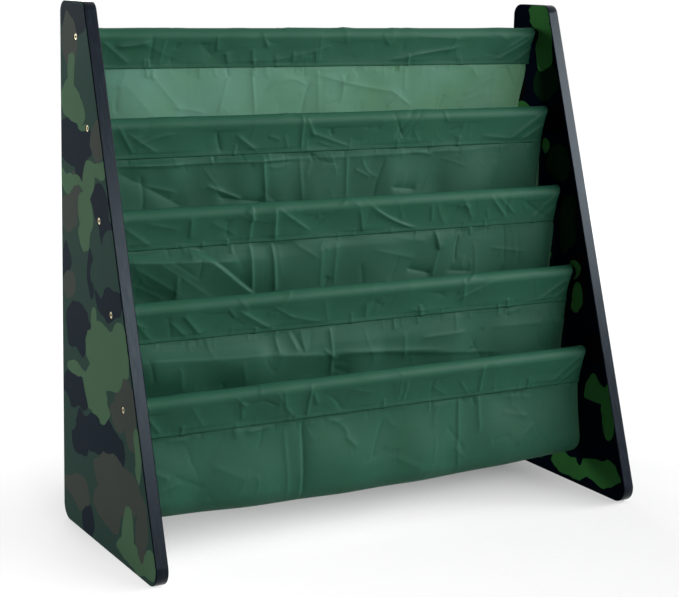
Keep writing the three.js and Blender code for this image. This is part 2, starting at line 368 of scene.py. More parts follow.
INNER_PRINT: tuple[PrintLayer, ...] = (
    (Ink.GREEN, (
        (64, 510, 26, 22), (26, 410, 24, 24), (1, 337, 19, 36), (84, 262, 35, 30),
        (38, 162, 30, 45), (108, 402, 25, 40), (-2, 82, 25, 18), (88, 57, 40, 30),
    )),
    (Ink.BROWN, (
        (48, 462, 30, 20), (-26, 262, 20, 45), (14, 222, 23, 20), (128, 312, 25, 45),
        (-66, 182, 20, 20), (58, 107, 40, 20), (128, 502, 20, 30),
    )),
    (Ink.OLIVE, (
        (80, 598, 23, 20), (68, 556, 21, 29), (54, 427, 7, 9), (-20, 280, 9, 13),
        (-24, 241, 11, 22), (-98, 110, 17, 38), (-68, 132, 23, 16), (-88, 29, 38, 20),
        (-26, 19, 44, 18), (108, 462, 25, 20), (64, 292, 30, 18), (98, 197, 30, 35),
        (48, 32, 25, 18), (118, 107, 25, 20),
    )),
    (Ink.NAVY, ((120, 597, 21, 12), (-48, 39, 9, 13))),
)


@dataclass(frozen=True)
class PrintedBoard:
    """Camouflage ink on fibreboard under satin lacquer: crisp wavy patches with a soft shine."""

    name: str
    ground: Ink
    layers: tuple[PrintLayer, ...]
    inks: dict[Ink, str]
    specular: float
    roughness: float = 0.34
    waves_mm: tuple[tuple[float, float], ...] = ((30.0, 10.0), (11.0, 2.4))

    def build(self) -> Material:
        """Makes the material."""
        material, tree = new_material(self.name)
        here = add_node(tree, "TexCoord", output="Object")
        place = add_node(tree, "VectorMath", {0: here, 1: (0.0, 1.0, 1.0)}, operation="MULTIPLY")
        for spacing, reach in self.waves_mm:
            place = self.waver(tree, place, spacing, reach)
        colour: Any = srgb(self.inks[self.ground])
        for ink, patches in self.layers:
            mask = self.patch_mask(tree, place, patches)
            colour = add_node(
                tree, "Mix", {0: mask, 6: colour, 7: srgb(self.inks[ink])}, output=2,
                data_type="RGBA",
            )
        # Ink lies a little thicker and thinner over the board, some 60 mm from patch to patch.
        cloud = add_node(
            tree, "TexNoise", {"Vector": here, "Scale": 1 / (60 * MM), "Detail": 3.0}, output="Fac"
        )
        tone = add_node(tree, "MapRange", {0: cloud, 3: 0.9, 4: 1.1})
        colour = add_node(tree, "VectorMath", {0: colour, "Scale": tone}, operation="SCALE")
        # Orange peel of rolled lacquer, 1.6 mm from dimple to dimple.
        peel = add_node(
            tree, "TexNoise", {"Vector": here, "Scale": 1 / (1.6 * MM), "Detail": 1.0}, output="Fac"
        )
        bump = add_node(tree, "Bump", {"Strength": 0.12, "Distance": 0.05 * MM, "Height": peel})
        rough = add_node(
            tree, "MapRange", {0: cloud, 3: self.roughness - 0.05, 4: self.roughness + 0.05}
        )
        shader = add_node(
            tree, "BsdfPrincipled",
            {
                "Base Color": colour, "Roughness": rough, "Normal": bump,
                "Specular IOR Level": self.specular,
            },
        )
        close_surface(tree, shader)
        return material

    @staticmethod
    def waver(tree: NodeTree, place: NodeSocket, spacing: float, reach: float) -> NodeSocket:
        """Shifts a place by noise, so that patch borders wave.

        Args:
            tree: The node tree.
            place: The place to shift.
            spacing: Millimetres from wave to wave.
            reach: Millimetres of the largest shift.

        Returns:
            The shifted place.
        """
        noise = add_node(
            tree, "TexNoise", {"Vector": place, "Scale": 1 / (spacing * MM), "Detail": 0.0},
            output="Color",
        )
        centred = add_node(tree, "VectorMath", {0: noise, 1: (0.5, 0.5, 0.5)}, operation="SUBTRACT")
        return add_node(
            tree, "VectorMath", {0: centred, 1: (0.0, 2 * reach * MM, 2 * reach * MM), 2: place},
            operation="MULTIPLY_ADD",
        )

    @staticmethod
    def patch_mask(tree: NodeTree, place: NodeSocket, patches: Iterable[Patch]) -> NodeSocket:
        """Joins patches to one mask, 1 inside.

        Args:
            tree: The node tree.
            place: The place on the board.
            patches: Middles and half sizes.

        Returns:
            The mask's socket.
        """
        nearest: NodeSocket | None = None
        for y, z, half_y, half_z in patches:
            local = add_node(
                tree, "Mapping",
                {
                    "Vector": place, "Location": (0.0, y * MM, z * MM),
                    "Scale": (1.0, half_y * MM, half_z * MM),
                },
                vector_type="TEXTURE",
            )
            reach = add_node(tree, "VectorMath", {0: local}, output="Value", operation="LENGTH")
            if nearest is None:
                nearest = reach
            else:
                nearest = add_node(
                    tree, "Math", {0: nearest, 1: reach, 2: PATCH_MELT}, operation="SMOOTH_MIN"
                )
        return add_node(tree, "MapRange", {0: nearest, 1: 1.0, 2: 0.985, 3: 0.0, 4: 1.0})


@dataclass(frozen=True)
class SatinPaint:
    """Brushed-on satin paint on board edge or wood: dark colour, faint streaks, soft shine."""

    name: str
    colour: str
    streak_mm: tuple[float, float, float]
    roughness: float = 0.26
    specular: float = 0.16
    variation: float = 0.25

    def build(self) -> Material:
        """Makes the material."""
        material, tree = new_material(self.name)
        here = add_node(tree, "TexCoord", output="Object")
        scaled = add_node(
            tree, "Mapping",
            {"Vector": here, "Scale": tuple(1 / (size * MM) for size in self.streak_mm)},
        )
        streaks = add_node(
            tree, "TexNoise", {"Vector": scaled, "Scale": 1.0, "Detail": 4.0}, output="Fac"
        )
        tone = add_node(
            tree, "MapRange",
            {0: streaks, 1: 0.3, 2: 0.7, 3: 1 - self.variation, 4: 1 + self.variation},
        )
        colour = add_node(
            tree, "VectorMath", {0: srgb(self.colour)[:3], "Scale": tone}, operation="SCALE"
        )
        rough = add_node(
            tree, "MapRange", {0: streaks, 3: self.roughness - 0.1, 4: self.roughness + 0.1}
        )
        bump = add_node(tree, "Bump", {"Strength": 0.25, "Distance": 0.08 * MM, "Height": streaks})
        # The reflections get a bluish tint, a painted cool colour of the light that they show.
        shader = add_node(
            tree, "BsdfPrincipled",
            {
                "Base Color": colour, "Roughness": rough, "Normal": bump,
                "Specular IOR Level": self.specular, "Specular Tint": srgb("CADEEA"),
            },
        )
        close_surface(tree, shader)
        return material


@dataclass(frozen=True)
class RawFibreboard:
    """Cut fibreboard inside a screw hole: matt brown with a fine felted fleck."""

    name: str = "raw_fibreboard_cut"

    def build(self) -> Material:
        """Makes the material."""
        material, tree = new_material(self.name)
        here = add_node(tree, "TexCoord", output="Object")
        fleck = add_node(
            tree, "TexNoise", {"Vector": here, "Scale": 1 / (0.8 * MM), "Detail": 4.0}, output="Fac"
        )
        colour = add_node(
            tree, "Mix", {0: fleck, 6: srgb("2A2119"), 7: srgb("5E4A36")}, output=2,
            data_type="RGBA",
        )
        shader = add_node(tree, "BsdfPrincipled", {"Base Color": colour, "Roughness": 0.9})
        close_surface(tree, shader)
        return material


@dataclass(frozen=True)
class BrassPlate:
    """Brass-plated steel, tumbled: warm pale metal with a fine mottle of tarnish."""

    name: str = "brass_plated_steel"

    def build(self) -> Material:
        """Makes the material."""
        material, tree = new_material(self.name)
        here = add_node(tree, "TexCoord", output="Object")
        tarnish = add_node(
            tree, "TexNoise", {"Vector": here, "Scale": 1 / (2.2 * MM), "Detail": 3.0}, output="Fac"
        )
        colour = add_node(
            tree, "Mix", {0: tarnish, 6: srgb("D2CBAF"), 7: srgb("958B69")}, output=2,
            data_type="RGBA",
        )
        rough = add_node(tree, "MapRange", {0: tarnish, 3: 0.2, 4: 0.42})
        bump = add_node(tree, "Bump", {"Strength": 0.2, "Distance": 0.03 * MM, "Height": tarnish})
        shader = add_node(
            tree, "BsdfPrincipled",
            {"Base Color": colour, "Metallic": 1.0, "Roughness": rough, "Normal": bump},
        )
        close_surface(tree, shader)
        return material


@dataclass(frozen=True)
class SlingCloth:
    """Thin plain-woven polyester: soft satin sheen, and daylight glows through a single layer."""

    name: str
    colour: str
    glow: str
    warm_glow: str
    flat_mm: tuple[float, float]
    see_through: float
    thread_mm: float = 1.1
    roughness: float = 0.58
    specular: float = 0.2

    def build(self) -> Material:
        """Makes the material. Its threads are wider than the real 0.3 mm, which wouldn't show."""
        material, tree = new_material(self.name)
        share = add_node(tree, "TexCoord", output="UV")
        across = add_node(
            tree, "VectorMath", {0: share, 1: (*self.flat_mm, 0.0)}, operation="MULTIPLY"
        )
        turned = add_node(
            tree, "VectorMath", {0: across, "Scale": math.pi / self.thread_mm}, operation="SCALE"
        )
        waves = add_node(tree, "VectorMath", {0: turned}, operation="SINE")
        warp = add_node(tree, "SeparateXYZ", {0: waves})
        weft = add_node(tree, "SeparateXYZ", {0: waves}, output=1)
        weave = add_node(tree, "Math", {0: warp, 1: weft}, operation="MULTIPLY")
        # Thick and thin threads, 2 mm apart and some 90 mm long, run both ways.
        slubs = []
        for scale in ((1 / 90, 1 / 2, 1.0), (1 / 2, 1 / 90, 1.0)):
            way = add_node(tree, "Mapping", {"Vector": across, "Scale": scale})
            uneven = add_node(
                tree, "TexNoise", {"Vector": way, "Scale": 1.0, "Detail": 2.0}, output="Fac"
            )
            slubs.append(uneven)
        slub = add_node(tree, "Math", {0: slubs[0], 1: slubs[1]})
        # Dye takes a little unevenly, in clouds some 70 mm wide.
        cloud = add_node(
            tree, "TexNoise", {"Vector": across, "Scale": 1 / 70, "Detail": 2.0}, output="Fac"
        )
        mixed = add_node(tree, "Math", {0: slub, 1: 0.5, 2: cloud}, operation="MULTIPLY_ADD")
        tone = add_node(tree, "MapRange", {0: mixed, 1: 0.6, 2: 1.4, 3: 0.93, 4: 1.07})
        threads = add_node(tree, "Math", {0: weave, 1: 0.02, 2: tone}, operation="MULTIPLY_ADD")
        colour = add_node(
            tree, "VectorMath", {0: srgb(self.colour)[:3], "Scale": threads}, operation="SCALE"
        )
        # Painted light: the light that comes through is painted cooler on the left half and warmer
        # on the right.
        sideways = add_node(tree, "SeparateXYZ", {0: across})
        leaning = add_node(
            tree, "Math", {0: sideways, 1: 0.3 / self.flat_mm[0], 2: cloud},
            operation="MULTIPLY_ADD",
        )
        hue = add_node(tree, "MapRange", {0: leaning, 1: 0.4, 2: 0.9})
        glow_hue = add_node(
            tree, "Mix", {0: hue, 6: srgb(self.glow), 7: srgb(self.warm_glow)}, output=2,
            data_type="RGBA",
        )
        glow = add_node(tree, "VectorMath", {0: glow_hue, "Scale": threads}, operation="SCALE")
        relief = add_node(tree, "Math", {0: slub, 1: 1.2, 2: weave}, operation="MULTIPLY_ADD")
        bump = add_node(tree, "Bump", {"Strength": 0.2, "Distance": 0.05 * MM, "Height": relief})
        front = add_node(
            tree, "BsdfPrincipled",
            {
                "Base Color": colour, "Roughness": self.roughness, "Normal": bump,
                "Specular IOR Level": self.specular,
            },
        )
        through = add_node(tree, "BsdfTranslucent", {"Color": glow, "Normal": bump})
        both = add_node(tree, "MixShader", {0: self.see_through, 1: front, 2: through})
        close_surface(tree, both)
        return material


@dataclass(frozen=True)
class SewingThread:
    """Spun polyester thread, a shade lighter than the cloth, with a twisted rib."""

    name: str = "polyester_sewing_thread"
    colour: str = "33604E"

    def build(self) -> Material:
        """Makes the material."""
        material, tree = new_material(self.name)
        here = add_node(tree, "TexCoord", output="Object")
        twist = add_node(
            tree, "TexNoise", {"Vector": here, "Scale": 1 / (0.7 * MM), "Detail": 1.0}, output="Fac"
        )
        tone = add_node(tree, "MapRange", {0: twist, 3: 0.8, 4: 1.2})
        colour = add_node(
            tree, "VectorMath", {0: srgb(self.colour)[:3], "Scale": tone}, operation="SCALE"
        )
        shader = add_node(tree, "BsdfPrincipled", {"Base Color": colour, "Roughness": 0.6})
        close_surface(tree, shader)
        return material


# Frame: panels, rods and screws


@dataclass(frozen=True)
class SidePanel:
    """A printed side board with a sloping front, rounded corners and five screw holes."""

    side: int
    edge_ease: float = 1.2
    arc_steps: int = 14
    hole_mouth: float = 4.5
    hole_bore: float = 3.0
    hole_lip: float = 1.2
    hole_taper_end: float = 3.8

    @property
    def name(self) -> str:
        """The CAD node that the board stands for."""
        return "left_side_panel" if self.side < 0 else "right_side_panel"

    def corner_arc(
        self, source: BMesh, corner: Vector, before: Vector, after: Vector, radius: float
    ) -> tuple[BMVert, BMVert]:
        """Spins one point round a rounded corner.

        Args:
            source: The bmesh that gets the arc.
            corner: The sharp corner, as depth and height.
            before: The corner before it.
            after: The corner after it.
            radius: The rounding.

        Returns:
            The arc's first and last point.
        """
        back = (before - corner).normalized()
        ahead = (after - corner).normalized()
        half = back.angle(ahead) / 2
        centre = corner + (back + ahead).normalized() * (radius / math.sin(half))
        start = corner + back * (radius / math.tan(half))
        x = self.side * SHELF.width / 2 * MM
        first = bmesh.ops.create_vert(source, co=(x, start.x * MM, start.y * MM))["vert"][0]
        spun = bmesh.ops.spin(
            source, geom=[first], cent=(x, centre.x * MM, centre.y * MM), axis=(1.0, 0.0, 0.0),
            dvec=(0.0, 0.0, 0.0), angle=math.pi - 2 * half, steps=self.arc_steps,
            use_merge=False, use_duplicate=False,
        )
        last = [item for item in spun["geom_last"] if isinstance(item, BMVert)][0]
        return first, last

    def blank(self) -> BMesh:
        """Makes the board before its holes are cut, its long edges eased."""
        corners = [
            (Vector((SHELF.foot_corner, 0.0)), SHELF.bottom_corner),
            (Vector((SHELF.depth / 2, 0.0)), SHELF.bottom_corner),
            (Vector((SHELF.depth / 2, SHELF.height)), SHELF.top_corner),
            (Vector((SHELF.front_edge(SHELF.height), SHELF.height)), SHELF.top_corner),
        ]
        source = bmesh.new()
        arcs = [
            self.corner_arc(source, at, corners[index - 1][0], corners[(index + 1) % 4][0], radius)
            for index, (at, radius) in enumerate(corners)
        ]
        for (_, end), (start, _) in zip(arcs, arcs[1:] + arcs[:1]):
            source.edges.new((end, start))
        bmesh.ops.edgeloop_fill(source, edges=source.edges[:])
        inwards = (-self.side * SHELF.panel_thickness * MM, 0.0, 0.0)
        pull_faces(source, source.faces[:], inwards)
        bmesh.ops.recalc_face_normals(source, faces=source.faces[:])
        rims = [
            edge for edge in source.edges
            if abs(edge.verts[0].co.x - edge.verts[1].co.x) < 1e-7
        ]
        ease_edges(source, rims, self.edge_ease, 3)
        for face in source.faces:
            if abs(face.normal.x) < 0.95:
                face.material_index = 2 if abs(face.normal.x) < 0.1 else 4
            else:
                face.material_index = 0 if face.normal.x * self.side > 0 else 1
        return source

    def hole_cutters(self) -> BMesh:
        """Makes the countersunk holes to be cut from the outer face."""
        profile = (
            (-2.0, 0.0), (-2.0, self.hole_mouth), (self.hole_lip, self.hole_mouth),
            (self.hole_taper_end, self.hole_bore), (SHELF.panel_thickness + 2, self.hole_bore),
            (SHELF.panel_thickness + 2, 0.0),
        )
        source = bmesh.new()
        for index in range(SHELF.rod_count):
            y, z = SHELF.rod_centre(index)
            start = Vector((self.side * SHELF.width / 2, y, z)) * MM
            lathe(source, profile, start, 32, towards=-self.side, slot=3)
        return source

    def build(self, materials: Sequence[Material]) -> Object:
        """Makes the board.

        Args:
            materials: Outer print, inner print, edge paint, raw board and dulled paint.

        Returns:
            The finished piece.
        """
        panel = new_piece(self.blank(), self.name, materials)
        carve(panel, self.hole_cutters())
        shade(panel, 40.0, flat_mm2=400.0)
        return declare(panel, "printed_board", self.name)


@dataclass(frozen=True)
class CrossRod:
    """A round painted rod between the panels, bored at both ends for its screws."""

    index: int
    end_chamfer: float = 0.8
    bore_radius: float = 3.0
    bore_depth: float = 36.0
    facets: int = 64

    def build(self, paint: Material) -> Object:
        """Makes the rod.

        Args:
            paint: The rod's finish.

        Returns:
            The finished piece.
        """
        y, z = SHELF.rod_centre(self.index)
        source = bmesh.new()
        middle = Vector((0.0, y, z)) * MM
        add_round_bar(source, SHELF.rod_radius, 2 * SHELF.inner_half, middle, self.facets)
        caps = [face for face in source.faces if len(face.verts) > 4]
        rims = list({edge for cap in caps for edge in cap.edges})
        ease_edges(source, rims, self.end_chamfer, 2)
        for cap in [face for face in source.faces if len(face.verts) > 4]:
            towards = 1.0 if cap.normal.x > 0 else -1.0
            border = SHELF.rod_radius - self.end_chamfer - self.bore_radius
            bmesh.ops.inset_region(source, faces=[cap], thickness=border * MM)
            pull_faces(source, [cap], (-towards * self.bore_depth * MM, 0.0, 0.0))
        bmesh.ops.recalc_face_normals(source, faces=source.faces[:])
        name = f"rod_{self.index + 1}"
        rod = new_piece(source, name, [paint])
        shade(rod, 35.0)
        return declare(rod, "dark_painted_wood", name)


@dataclass(frozen=True)
class ConnectingScrew:
    """A countersunk hex-socket screw through a panel into a rod end."""

    side: int
    index: int
    recess: float = 0.6
    head_radius: float = 3.9
    head_ease: float = 0.35
    head_lip: float = 0.8
    taper_end: float = 3.4
    shoulder_radius: float = 2.7
    shoulder_end: float = 13.4
    thread_radius: float = 2.4
    thread_root: float = 1.85
    thread_pitch: float = 1.25
    plain_tip: float = 6.0
    tip_radius: float = 1.2
    length: float = 50.0
    socket_flats: float = 4.0
    socket_depth: float = 2.2

    def profile(self) -> list[tuple[float, float]]:
        """Distance from the head's face and radius of each point of the outline."""
        ease = self.head_ease
        along = self.shoulder_end + 0.3
        points = [
            (0.0, 0.0), (0.0, self.head_radius - ease), (ease, self.head_radius),
            (self.head_lip, self.head_radius), (self.taper_end, self.shoulder_radius),
            (self.shoulder_end, self.shoulder_radius), (along, self.thread_root),
        ]
        while along < self.length - self.plain_tip:
            points.append((along + self.thread_pitch / 2, self.thread_radius))
            points.append((along + self.thread_pitch, self.thread_root))
            along += self.thread_pitch
        return points + [(self.length - 1.0, self.tip_radius), (self.length, 0.0)]

    def build(self, metal: Material) -> Object:
        """Makes the screw.

        Args:
            metal: The screw's finish.

        Returns:
            The finished piece.
        """
        y, z = SHELF.rod_centre(self.index)
        start = Vector((self.side * (SHELF.width / 2 - self.recess), y, z)) * MM
        source = bmesh.new()
        lathe(source, self.profile(), start, 24, towards=-self.side)
        edge = "left" if self.side < 0 else "right"
        name = f"{edge}_screw_{self.index + 1}"
        screw = new_piece(source, name, [metal])
        socket = bmesh.new()
        over_corners = self.socket_flats / math.sqrt(3)
        add_round_bar(socket, over_corners, 2 * self.socket_depth, start, 6)
        carve(screw, socket)
        shade(screw, 30.0)
        return declare(screw, "screw_brass", name)


# Sling: the relief pressed and pulled into the cloth


@dataclass(frozen=True)
class Crease:
    """A fold mark, from one point to another across the cloth, as x and drop in millimetres.

    A height above 0 stands out towards the room. One flank falls off over `low` on the side to
    the left of the mark or below it, the other over `high` on the side to the right or above.
    Marks are written from top to bottom or from left to right. The bow bends the line.
    """

    x0: float
    drop0: float
    x1: float
    drop1: float
    height: float
    low: float
    high: float
    bow: float = 0.0

    def relief(self, x: Array, drop: Array) -> Array:
        """How far the mark lifts the cloth at places."""
        run, fall = self.x1 - self.x0, self.drop1 - self.drop0
        length = max(math.hypot(run, fall), 1e-6)
        along = ((x - self.x0) * run + (drop - self.drop0) * fall) / length**2
        off = ((x - self.x0) * fall - (drop - self.drop0) * run) / length
        off = off - self.bow * 4 * along * (1 - along)
        ends = smoothstep(along, -0.1, 0.16) * (1 - smoothstep(along, 0.84, 1.1))
        width = np.where(off > 0, self.high, self.low)
        reach = (np.sqrt(off**2 + 0.2) - 0.45) / width
        return self.height * ends * (0.8 * np.exp(-1.4 * reach) + 0.2 * np.exp(-0.5 * reach))


class Seed(IntEnum):
    """First seed of each kind of random relief; the number of its rod is added."""

    SLEEVE_PUCKER = 20
    HANG_PUCKER = 40
    SLEEVE_CRUMPLE = 300
    HANG_CRUMPLE = 700


@dataclass(frozen=True)
class Crumple:
    """Seeded small creases and soft swells of one hanging cloth."""

    seed: int
    half_width: float
    top: float
    bottom: float
    marks: int
    mark_height: float
    swell_height: float = 0.9
    swells: int = 16

    def relief(self, x: Array, drop: Array) -> Array:
        """How far the crumple lifts the cloth at places."""
        random = np.random.default_rng(self.seed)
        lift = np.zeros_like(x)
        for _ in range(self.marks):
            at_x = random.uniform(-self.half_width, self.half_width)
            at_drop = random.uniform(self.top, self.bottom)
            turn = random.normal(0.0, 0.55) + (math.pi / 2 if random.random() < 0.72 else 0.0)
            reach = random.uniform(6.0, 26.0)
            height = random.normal(0.0, self.mark_height)
            mark = Crease(
                at_x - reach * math.cos(turn), at_drop - reach * math.sin(turn),
                at_x + reach * math.cos(turn), at_drop + reach * math.sin(turn),
                height, random.uniform(1.2, 5.0), random.uniform(1.2, 5.0),
                random.normal(0.0, 2.0),
            )
            lift += mark.relief(x, drop)
        for _ in range(self.swells):
            length = random.uniform(38.0, 150.0)
            turn = random.normal(0.0, 0.6)
            phase = random.uniform(0.0, 2 * math.pi)
            step = 2 * math.pi / length
            size = self.swell_height * random.normal(0.0, 1.0) * (length / 110.0) ** 1.1 / 2.2
            wave = step * (x * math.cos(turn) + drop * math.sin(turn)) + phase
            lift += size * np.cos(wave)
        return lift


def folded(*cloths: Sequence[Sequence[float]]) -> tuple[tuple[Crease, ...], ...]:
    """Turns rows of numbers, in the order of Crease's fields, into each cloth's creases."""
    return tuple(tuple(Crease(*row) for row in rows) for rows in cloths)


# Marks of each sleeve; drop 0 is level with the rod's middle, and the seam is at 36.
SLEEVE_MARKS = folded(
    (
        (-154, -4, -152, 17, 1.5, 1.6, 6), (-140, 18, -136, 36, 1.5, 2.6, 6),
        (-106, 14, -104, 35, 1, 1.8, 4), (-95, -6, -86, 13, 1.4, 1.8, 5),
        (-51, 18, -50, 36, 1.1, 1.7, 4), (-20, 16, -18, 36, 1.1, 1.7, 4),
        (-15, -8, -15, 34, 0.6, 3, 3), (72, -4, 82, 10, 1, 2.4, 5), (86, 29, 190, 12, 1.1, 4, 1.8),
        (125, -1, 196, 3, 0.8, 3.5, 2), (118, 22, 182, 15, 0.7, 3, 2), (236, -6, 262, 4, 1, 3, 4),
        (246, 31, 298, 2, 1.9, 6, 2.4), (262, 15, 298, -6, 1.4, 5, 2),
        (270, 37, 298, 18, 1.5, 4, 2), (-297, 2, -262, 30, 1.2, 7, 3),
        (-250, 4, -212, 22, 0.7, 6, 4), (-200, -2, -170, 8, 0.6, 4, 3),
    ),
    (
        (-57, -12, -55, 38, 1.5, 2.4, 2), (-51, -6, -38, 18, 1.6, 5, 2),
        (-142, 12, -106, 39, 1.6, 6, 2.6), (-100, 14, -84, 20, 0.8, 3, 2),
        (-44, 12, 14, 33, 1.2, 4, 2), (-32, 25, 10, 38, 0.9, 3, 2), (248, 31, 298, -5, 2.6, 7, 2.2),
        (256, 39, 299, 13, 1.8, 6, 2), (-292, -5, -270, 31, 1.3, 3, 3),
        (-278, 6, -240, 31, 1, 4, 2.6), (-296, 26, -262, 8, 0.9, 4, 2), (96, 6, 112, 31, 0.6, 8, 4),
        (176, 2, 170, 30, 0.6, 6, 5), (206, 24, 250, 30, 0.8, 4, 2), (30, -6, 60, 3, 0.6, 4, 3),
    ),
    (
        (-217, 0, -215, 25, 1.3, 2, 5), (-139, -10, -140, 38, 2.2, 10, 1.6),
        (-110, -5, -106, 38, 2.8, 11, 2), (-108, -6, -62, 25, 1.5, 6, 2),
        (-46, 17, -10, -12, 1.1, 3, 2), (-10, -12, 6, 1, 1, 3, 2), (5, 3, 14, 38, 1.2, 2.2, 4),
        (20, -1, 121, 39, 2.2, 5, 1.6, -7), (107, 3, 111, 25, 1, 2.2, 3),
        (153, -3, 172, 27, 1.1, 2.4, 4), (194, -4, 224, 27, 1.4, 3, 2), (206, -4, 236, 22, 1, 3, 2),
        (262, 35, 298, -2, 1.7, 6, 2.2), (276, 38, 299, 15, 1.6, 4, 2),
        (-296, 8, -262, 33, 1.1, 6, 3), (-270, 4, -230, 14, 0.8, 5, 3),
        (-190, 8, -158, 24, 0.8, 6, 4),
    ),
    (
        (-240, 6, -215, 35, 1.7, 2.4, 6), (-256, 12, -232, 35, 1.1, 4, 3),
        (-187, 0, -175, 15, 1.2, 2.2, 4), (-170, 7, -121, 37, 2, 9, 3),
        (-106, 19, -50, 34, 0.9, 4, 3), (-126, 6, -98, 22, 0.8, 4, 2),
        (130, 19, 190, -5, 1.4, 6, 2), (230, 33, 279, 28, 1.5, 3, 1.8),
        (258, 30, 299, 3, 2, 6, 2.4), (270, 38, 298, 18, 1.5, 4, 2), (20, 4, 12, 32, 0.6, 7, 5),
        (-60, 2, -52, 32, 0.7, 6, 4), (-298, 8, -276, 34, 1.2, 5, 3), (60, 26, 110, 34, 0.7, 3, 2),
    ),
    (
        (-194, -4, -176, 13, 1.6, 2.4, 4), (-184, 6, -180, 28, 1.2, 2.2, 4),
        (-131, -5, -127, 16, 1, 2.2, 4), (-128, 16, -112, 35, 1.4, 3, 4),
        (-95, -6, -97, 38, 2, 3, 2.2), (-92, 2, -84, 20, 1.6, 3, 5),
        (146, -6, 145, 38, 1.6, 4, 1.8), (74, 16, 96, 30, 0.6, 4, 3),
        (250, 35, 294, -1, 1.7, 6, 2.2), (264, 38, 299, 10, 1.6, 4, 2),
        (-297, 10, -280, 33, 1.3, 4, 3), (-246, 2, -228, 30, 0.8, 7, 4), (20, 0, 28, 34, 0.6, 7, 4),
        (-40, 6, -10, 14, 0.6, 4, 3),
    ),
)

# Marks of the cloth that hangs from each rod; drop 0 is the seam.
HANG_MARKS = folded(
    (
        (-105, -2, -105, 56, 1.6, 2.6, 2), (-86, 28, -30, 22, 1.4, 4, 2.4, 10),
        (-12, 11, 97, 32, 1.8, 4, 3, -2), (-40, 34, -12, 20, 1, 4, 3), (-15, 4, -14, 56, 0.8, 3, 4),
        (92, 30, 124, 50, 1.5, 4, 2), (108, 32, 90, 52, 1.3, 3, 2), (112, 0, 114, 32, 0.9, 4, 2.4),
        (208, 38, 256, 18, 1.5, 5, 2), (200, 48, 246, 34, 1, 4, 2.4), (214, 4, 224, 18, 0.9, 2, 4),
        (-240, 4, -204, 50, 1.4, 9, 9), (-276, 12, -244, 54, 1.2, 9, 9),
        (250, 4, 252, 54, 1.4, 8, 6),
    ),
    (
        (-294, 8, -52, 8, 3.2, 2.6, 7), (-50, 8, 156, 6, 2, 3, 6), (-107, 0, -104, 58, 2.2, 5, 2.2),
        (-122, 12, -106, 8, 1.4, 3, 2), (-181, 35, -138, 52, 1.8, 4, 2),
        (-168, 48, -106, 58, -2.2, 9, 6), (-56, 4, -56, 58, 1, 3, 3), (7, 4, 8, 58, 1.3, 3, 1.8),
        (20, 24, 42, 34, 0.9, 3, 2), (74, 48, 110, 52, -2.4, 4, 9), (100, 4, 132, 10, 1.3, 3, 2),
        (230, 22, 222, 58, 1.2, 8, 6), (-288, 16, -214, 58, -2.6, 10, 16),
        (-272, 28, -222, 40, 0.9, 4, 2.4), (160, 5, 250, 4, 1, 3, 5),
    ),
    (
        (-216, 0, -140, 60, 3.8, 40, 1.8), (-208, 0, -134, 60, -1.8, 1.8, 12),
        (-300, 12, -160, 20, 5.4, 30, 9), (-262, 12, -196, 60, 0.7, 9, 3),
        (-284, 20, -226, 60, 0.8, 8, 3), (-296, 36, -250, 60, 0.6, 8, 3),
        (-139, -1, -139, 61, 2.8, 7, 1.7), (-109, -1, -109, 61, 3, 5, 1.8),
        (-80, 4, -50, 24, 0.9, 5, 3), (-46, 8, -46, 58, 1.4, 6, 4), (-24, 6, -26, 58, 1, 3, 3),
        (116, -1, 124, 25, 2.4, 1.8, 6), (124, 25, 150, 0, 2.2, 1.8, 6),
        (80, 46, 114, 54, -2.4, 4, 8), (124, 25, 118, 58, 1, 3, 2), (205, 28, 256, 36, 1, 3, 2),
        (140, 52, 178, 56, -1.4, 3, 7), (30, 20, 90, 34, 0.8, 5, 4), (60, 6, 104, 14, 0.7, 4, 3),
    ),
    (
        (-300, 19, -124, 27, 6.4, 24, 12), (-128, 28, -52, 35, 4.4, 17, 10),
        (-54, 35, 20, 38, 2.8, 10, 10), (10, 38, 200, 56, 1.8, 3, 8), (-46, 32, 110, 44, 1.4, 3, 3),
        (82, 27, 143, 25, 1.6, 3.4, 1.5), (-122, 0, -121, 27, 1.5, 3, 3),
        (-104, 2, -96, 26, 1.4, 5, 3), (-88, 0, -87, 28, 1, 2, 4), (-49, -2, -48, 60, 2, 4, 1.8),
        (-60, 28, -42, 42, 1.6, 2, 3), (55, 18, 57, 50, 1, 4, 2), (130, 2, 130, 24, 0.9, 2, 3),
        (190, 24, 298, 24, 1.5, 5, 8), (-210, 2, -206, 26, 0.7, 5, 5),
        (-250, 30, -248, 58, 1, 6, 5), (-170, 32, -166, 58, 0.9, 7, 5),
    ),
    (
        (-172, 8, -140, 4, 1.4, 3, 2), (-272, 6, -248, 6, 1, 3, 2),
        (-101, 0, -107, 108, -2.4, 1.8, 5), (-108, 60, -108, 112, 1, 4, 2),
        (-125, 8, -125, 96, 0.9, 4, 2), (-134, 96, -116, 108, 1.2, 4, 2),
        (-46, 28, -32, 42, 1.1, 2, 4), (116, 0, 114, 56, 1.7, 2, 5),
        (112, 50, 116, 112, 1.3, 2.4, 4), (108, 60, 122, 74, 1, 2, 2),
        (146, 0, 146, 44, 1.4, 4, 1.7), (-60, 10, -30, 4, 0.8, 3, 2), (180, 6, 226, 12, 0.9, 3, 2),
        (182, 26, 218, 34, 0.9, 3, 2), (-298, 36, -276, 46, 1.4, 6, 3),
        (-296, 70, -262, 84, 1.2, 8, 6), (20, 60, 60, 80, 0.8, 8, 6),
        (-220, 40, -180, 60, 0.7, 8, 6),
    ),
)


